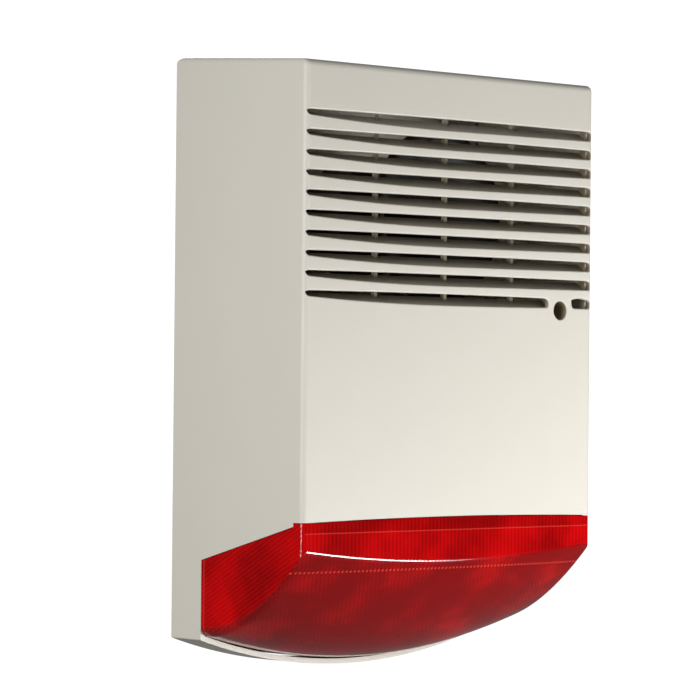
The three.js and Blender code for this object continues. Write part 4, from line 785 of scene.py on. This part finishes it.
def underside_line(steps):
    """(share along, share down) from the crease to the heel."""
    found = []
    for j in range(steps + 1):
        t = j / steps
        weights = ((1 - t) ** 3, 3 * t * (1 - t) ** 2, 3 * t * t * (1 - t), t ** 3)
        found.append(tuple(sum(w * p[k] for w, p in zip(weights, UNDERSIDE)) for k in (0, 1)))
    return found


def bow(x):
    return 1 - (x / HALF) ** 2


def underside_z(x, fall):
    crease = LENS_TOP - LENS_BAND - CREASE_BOW * bow(x)
    heel = BOTTOM + BOTTOM_BOW + HEEL_STEP - HEEL_BOW * bow(x)
    past = max(abs(x) - (HALF - LENS_EDGE_RADIUS), 0)
    lift = LENS_EDGE_RADIUS - math.sqrt(max(LENS_EDGE_RADIUS ** 2 - past ** 2, 0))
    return crease + (heel - crease) * fall + lift * fall


def rounded_line(x, steps):
    """The underside's (y, z) at one place across, its crease rounded."""
    run = LENS_BACK - FRONT
    line = [(FRONT + run * along, underside_z(x, fall)) for along, fall in underside_line(steps)]
    start = line[0]
    ahead = line[1]
    length = math.hypot(ahead[0] - start[0], ahead[1] - start[1])
    back_off = min(CREASE_RADIUS * 0.6, length * 0.9)
    on_slope = tuple(s + (a - s) * back_off / length for s, a in zip(start, ahead))
    above = (start[0], start[1] + back_off)
    return [above, *curve_points(above, start, on_slope, 6), *line[1:]]


def above_underside(name, raise_by, columns=96, rows=30):
    """Everything above the lens's underside, raised by a distance."""
    across = [HALF * math.sin(math.pi / 2 * (2 * i / columns - 1)) for i in range(columns + 1)]
    rings = []
    for x in across:
        line = [(y, z + raise_by) for y, z in rounded_line(x, rows)]
        before, behind = FRONT - 3, LENS_BACK + TONGUE + 3
        line = [(before, line[0][1]), *line, (behind, line[-1][1]), (behind, 0), (before, 0)]
        rings.append([(x, y, z) for y, z in line])
    return stacked(name, rings)


def prism_tree():
    """Crossed rows of small prisms pressed into the bottom of a body."""
    tree, given = geometry_tree("lens_prisms", {
        "Pitch": "NodeSocketFloat", "Height": "NodeSocketFloat", "Material": "NodeSocketMaterial"})
    calc = calculator(tree)
    place = node(tree, "GeometryNodeInputPosition").outputs[0]
    parts = node(tree, "ShaderNodeSeparateXYZ", {0: place}).outputs
    normal = node(tree, "GeometryNodeInputNormal").outputs[0]
    down = node(tree, "ShaderNodeSeparateXYZ", {0: normal}).outputs["Z"]
    low = calc("LESS_THAN", down, UNDER_FACING)
    waves = []
    for lean in (PRISM_LEAN, -PRISM_LEAN):
        line = calc("MULTIPLY_ADD", parts["Y"], lean, parts["X"])
        waves.append(calc("PINGPONG", calc("DIVIDE", line, given["Pitch"]), 0.5))
    lift = calc("MULTIPLY", calc("ADD", *waves), given["Height"])
    move = node(tree, "ShaderNodeCombineXYZ", {2: lift})
    shaped = node(tree, "GeometryNodeSetPosition", {
        "Geometry": given["Geometry"], "Selection": low, "Offset": move.outputs[0]})
    real = node(tree, "GeometryNodeRealizeInstances", {"Geometry": shaped.outputs[0]})
    painted_out = node(tree, "GeometryNodeSetMaterial", {
        "Geometry": real.outputs[0], "Material": given["Material"]})
    node(tree, "NodeGroupOutput", {"Geometry": painted_out.outputs[0]})
    return tree


def lens_hollow():
    """The room inside the lens, its front wall ribbed and its floor pressed into crossed prisms."""
    hollow = cover_body("hollow", LENS_WALL, OPEN_BACK)
    floor = above_underside("floor", LENS_WALL * 1.25, 260, 90)
    run_tree(floor, prism_tree(), {
        "Pitch": PRISM_PITCH * MM, "Height": PRISM_HEIGHT * MM, "Material": LENS_RED})
    carved(hollow, "INTERSECT", floor)
    ribs = row_tree("lens_ribs", "DIFFERENCE")
    face = FRONT + LENS_WALL
    count = int(2 * (HALF - 8) / RIB_PITCH)
    start = -RIB_PITCH * (count - 1) / 2
    top = LENS_TOP - 5
    foot = face - RIB_SUNK
    upright = stacked("upright", [[(start - RIB_HALF, foot, z), (start + RIB_HALF, foot, z),
                                   (start, face + RIB_TALL, z)] for z in (-FAR / 2, top)])
    run_tree(hollow, ribs, {"Copy": upright, "Count": count, "Step": (RIB_PITCH * MM, 0, 0),
                            "Material": LENS_RED})
    bpy.data.objects.remove(upright)
    return hollow


def strobe_lens():
    """The lens shell, the tongue that slides behind the cover's edge and its three screw tabs."""
    outer = cover_body("lens", 0, BACK)
    carved(outer, "INTERSECT", lens_room("room", -LENS_SEAM), above_underside("above", 0))
    hollow = lens_hollow()
    edge = lens_room("edge", TONGUE)
    carved(edge, "DIFFERENCE", lens_room("inner_edge", -TONGUE))
    inset = COVER_WALL + FIT
    rebate = copy_of(outer, "rebate")
    carved(rebate, "INTERSECT", copy_of(edge, "edge_copy"))
    carved(rebate, "DIFFERENCE", cover_body("cut", inset + TONGUE_WALL, OPEN_BACK))
    tongue = cover_body("tongue", inset, BACK)
    carved(tongue, "INTERSECT", edge, above_underside("above", 0))
    carved(tongue, "DIFFERENCE", cover_body("cut", inset + TONGUE_WALL, OPEN_BACK))
    carved(outer, "DIFFERENCE", hollow)
    carved(outer, "UNION", rebate, tongue)
    tab_face = INNER_FRONT + LENS_BOSS + FIT
    for p in LENS_SCREWS:
        x0, x1 = p.x - TAB_HALF, p.x + TAB_HALF
        shelf = block("shelf", x0, x1, FRONT + inset + 0.2, tab_face + TAB,
                      LENS_TOP - 3, LENS_TOP + 1.5)
        tab = block("tab", x0, x1, tab_face, tab_face + TAB, LENS_TOP - 3, p.z + 5)
        carved(outer, "UNION", shelf, tab)
        carved(outer, "DIFFERENCE", rod_y("hole", TAB_HOLE, tab_face - 1, tab_face + 3, p.x, p.z))
    return smoothed(outer, 25)


# ---------------------------------------------------------------- pieces that follow the frame


def softened(name, edge, material, smooth=0):
    """A clean copy of a CAD node with its edges eased and its rounds made smooth."""
    source = NODES[name]
    mesh = source.data.copy()
    work = bmesh.new()
    work.from_mesh(mesh)
    bmesh.ops.remove_doubles(work, verts=work.verts, dist=1e-6)
    bmesh.ops.dissolve_limit(work, angle_limit=math.radians(1), verts=work.verts, edges=work.edges)
    work.to_mesh(mesh)
    work.free()
    thing = bpy.data.objects.new(name + "_finished", mesh)
    bpy.context.scene.collection.objects.link(thing)
    if edge:
        ease = thing.modifiers.new("ease", "BEVEL")
        ease.width = edge * MM
        ease.segments = 2
        ease.limit_method = "ANGLE"
        ease.angle_limit = math.radians(40)
    if smooth:
        finer = thing.modifiers.new("finer", "SUBSURF")
        finer.levels = smooth
        finer.render_levels = smooth
    settled(thing)
    thing.data.materials.clear()
    thing.data.materials.append(material)
    return smoothed(thing, 40)


BODIES = frame["record"]["behaviour"]["bodies"]
BODY_OF = {n: body for body, members in BODIES.items() for n in members}


def stand_in(thing, *names):
    """The finished piece takes its nodes' place on their body, and the nodes are hidden."""
    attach(thing, BODY_OF[names[0]])
    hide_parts(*names)


def painted(thing, material):
    thing.data.materials.clear()
    thing.data.materials.append(material)
    return thing


cover = painted(front_cover(), COVER_ABS)
cover.name = "cover_shell"
stand_in(cover, "front_cover")
lens = painted(strobe_lens(), LENS_RED)
lens.name = "lens_shell"
stand_in(lens, "strobe_lens")


def horn():
    """The horn opens from its flange in a smooth curve to a rolled lip."""
    low, high = box_mm("horn_flare")
    z = (low.z + high.z) / 2
    mouth, back = low.y, high.y
    rim = (high.x - low.x) / 2
    bell = rim - HORN_LIP
    steps = 40
    inside = [(HORN_THROAT * (bell / HORN_THROAT) ** (i / steps), back - (back - mouth) * i / steps)
              for i in range(steps + 1)]
    outside = [(r + HORN_WALL, y + HORN_WALL * 0.4) for r, y in reversed(inside[5:-1])]
    lip = [(rim + out, mouth + back_by) for out, back_by in HORN_ROLL]
    flange = back - HORN_FLANGE
    foot = [(HORN_THROAT + 3, flange), (DRIVER_RADIUS - 0.6, flange), (DRIVER_RADIUS, flange + 0.6),
            (DRIVER_RADIUS, back), (HORN_THROAT, back)]
    flare = turned_y("horn_finished", inside + lip + outside + foot, 0, z)
    stand_in(smoothed(painted(flare, HORN_ABS), 40), "horn_flare")


horn()

# Each node's edge radius (mm) and its finish.
FINISHES = {
    "back_plate": (0.4, PLATE_ABS), "hinge_pin_left": (0.2, ZINC), "hinge_pin_right": (0.2, ZINC),
    "cable_grommet": (0.5, RUBBER), "driver_housing": (0.5, BLACK),
    "driver_yoke": (0.2, ZINC), "driver_magnet": (0.3, FERRITE), "driver_top_plate": (0.2, ZINC),
    "voice_coil": (0, COPPER), "diaphragm": (0, FILM), "horn_bracket": (0.2, ZINC),
    "driver_nut": (0.3, ZINC), "main_board": (0, BOARD), "terminal_block": (0.2, TERMINAL),
    "relay": (0.5, RELAY), "reservoir_capacitor": (0.2, BLACK), "step_up_transformer": (0.4, TAPE),
    "control_chip": (0.15, BLACK), "jumper_header": (0.1, BLACK), "strobe_socket": (0.2, WHITE),
    "front_tamper_switch": (0.3, BLACK), "front_tamper_plunger": (0.2, WHITE),
    "wall_tamper_switch": (0.3, BLACK), "wall_tamper_plunger": (0.2, WHITE),
    "battery": (1.2, BATTERY), "battery_tab_positive": (0.1, ZINC),
    "battery_tab_negative": (0.1, ZINC), "battery_strap": (0.2, ZINC),
    "strobe_board": (0, BOARD), "strobe_reflector": (0, MIRROR),
    "xenon_tube": (0.4, GLASS), "tube_clip_left": (0.2, WHITE), "tube_clip_right": (0.2, WHITE),
    "strobe_plug": (0.2, WHITE),
}
for name, (edge, material) in FINISHES.items():
    stand_in(softened(name, edge, material), name)


def resistors():
    """Four resistors lie across the board, each on two bent wires."""
    face = box_mm("control_chip")[1].y
    centre = face - RESISTOR_RADIUS - 0.3
    row = component_tree()
    given = {"Count": RESISTOR_COUNT, "Step": (RESISTOR_STEP * MM, 0, 0)}
    x0, x1 = RESISTOR_X, RESISTOR_X + RESISTOR_LENGTH
    bodies = rod_x("resistor_bodies", RESISTOR_RADIUS, x0, x1, centre, RESISTOR_Z)
    wires = rod_x("resistor_wires", RESISTOR_WIRE, x0 - 1.5, x1 + 1.5, centre, RESISTOR_Z, 12)
    feet = [rod_y("foot", RESISTOR_WIRE, centre, face - 0.05, x, RESISTOR_Z, 12)
            for x in (x0 - 1.3, x1 + 1.3)]
    carved(wires, "UNION", *feet)
    for thing, material in ((bodies, RESISTOR), (wires, ZINC)):
        run_tree(thing, row, {**given, "Material": material})
        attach(smoothed(thing, 50), BODY_OF["main_board"])


resistors()

LEADS = {
    "front_tamper_spring": ZINC, "wall_tamper_spring": ZINC, "horn_lead_red": RED_LEAD,
    "horn_lead_black": BLACK_LEAD, "battery_lead_red": RED_LEAD, "battery_lead_black": BLACK_LEAD,
    "strobe_lead": WHITE,
}
for name, material in LEADS.items():
    stand_in(softened(name, 0, material, smooth=1), name)

for name in NODES:
    if "screw" in name:
        stand_in(softened(name, 0.25, ZINC), name)

# ---------------------------------------------------------------- stage, light and camera

FLOOR_Z = -320
FLOOR_REACH = 6000
LIGHTS = {  # metres and watts: place, aim, size, power
    "front_softbox": ((0.26, -0.52, -0.36), (0.02, -0.09, -0.04), 0.36, 11.5),
    "back_softbox": ((0.45, 1.1, 0.3), (0, 0, 0), 0.8, 9),
    "side_softbox": ((-0.85, -0.3, 0.06), (-0.1, -0.05, 0.03), 0.45, 4.5),
}
CAMERA_LENS = 173.614
CAMERA_PLACE = (-1.177754, -1.265180, -0.008052)
CAMERA_RIGHT = (0.72622488, -0.6873947, 0.00927122)
CAMERA_AHEAD = (0.68733053, 0.72628391, 0.00940312)


def area_light(name, place, aim, size, power):
    """A round soft light that faces its aim."""
    lamp = bpy.data.lights.new(name, "AREA")
    lamp.shape = "DISK"
    lamp.size = size
    lamp.energy = power
    thing = bpy.data.objects.new(name, lamp)
    thing.location = place
    thing.rotation_euler = (Vector(aim) - Vector(place)).to_track_quat("-Z", "Y").to_euler()
    bpy.context.scene.collection.objects.link(thing)


def stage():
    """A plain pale floor, a white surround that shines little into glossy faces, three lights."""
    corners = [(-1, -1), (1, -1), (1, 1), (-1, 1)]
    floor = placed("floor", [(FLOOR_REACH * x, FLOOR_REACH * y, FLOOR_Z) for x, y in corners],
                   [(0, 1, 2, 3)])
    # Matt card: plain white to the eye, throwing little light back up.
    pale = bpy.data.materials.new("pale_floor")
    pale.use_nodes = True
    shader = pale.node_tree.nodes["Principled BSDF"]
    shader.inputs["Base Color"].default_value = (0.2, 0.2, 0.2, 1)
    shader.inputs["Roughness"].default_value = 0.9
    shader.inputs["Emission Color"].default_value = (1, 1, 1, 1)
    only_seen = node(pale.node_tree, "ShaderNodeLightPath")
    pale.node_tree.links.new(only_seen.outputs["Is Camera Ray"], shader.inputs["Emission Strength"])
    painted(floor, pale)
    world = bpy.data.worlds.new("surround")
    world.use_nodes = True
    tree = world.node_tree
    tree.nodes.clear()
    seen = node(tree, "ShaderNodeBackground", {"Color": (1, 1, 1, 1), "Strength": 1.1})
    path = node(tree, "ShaderNodeLightPath")
    glow = node(tree, "ShaderNodeMapRange", {
        "Value": path.outputs["Is Glossy Ray"], "To Min": 0.24, "To Max": 0.06})
    lit = node(tree, "ShaderNodeBackground", {"Color": (1, 1, 1, 1), "Strength": glow.outputs[0]})
    both = node(tree, "ShaderNodeMixShader",
                {0: path.outputs["Is Camera Ray"], 1: lit.outputs[0], 2: seen.outputs[0]})
    node(tree, "ShaderNodeOutputWorld", {"Surface": both.outputs[0]})
    bpy.context.scene.world = world
    for name, (place, aim, size, power) in LIGHTS.items():
        area_light(name, place, aim, size, power)


def camera():
    """A long lens from the front left, level with the middle of the siren."""
    lens_data = bpy.data.cameras.new("camera")
    lens_data.lens = CAMERA_LENS
    lens_data.sensor_width = 36
    lens_data.clip_end = 20
    thing = bpy.data.objects.new("camera", lens_data)
    right, ahead = Vector(CAMERA_RIGHT), Vector(CAMERA_AHEAD)
    up = right.cross(ahead)
    turn = Matrix((right, up, -ahead)).transposed().to_4x4()
    thing.matrix_world = Matrix.Translation(CAMERA_PLACE) @ turn
    bpy.context.scene.collection.objects.link(thing)
    bpy.context.scene.camera = thing


stage()
camera()
bpy.context.scene.view_settings.view_transform = "Standard"
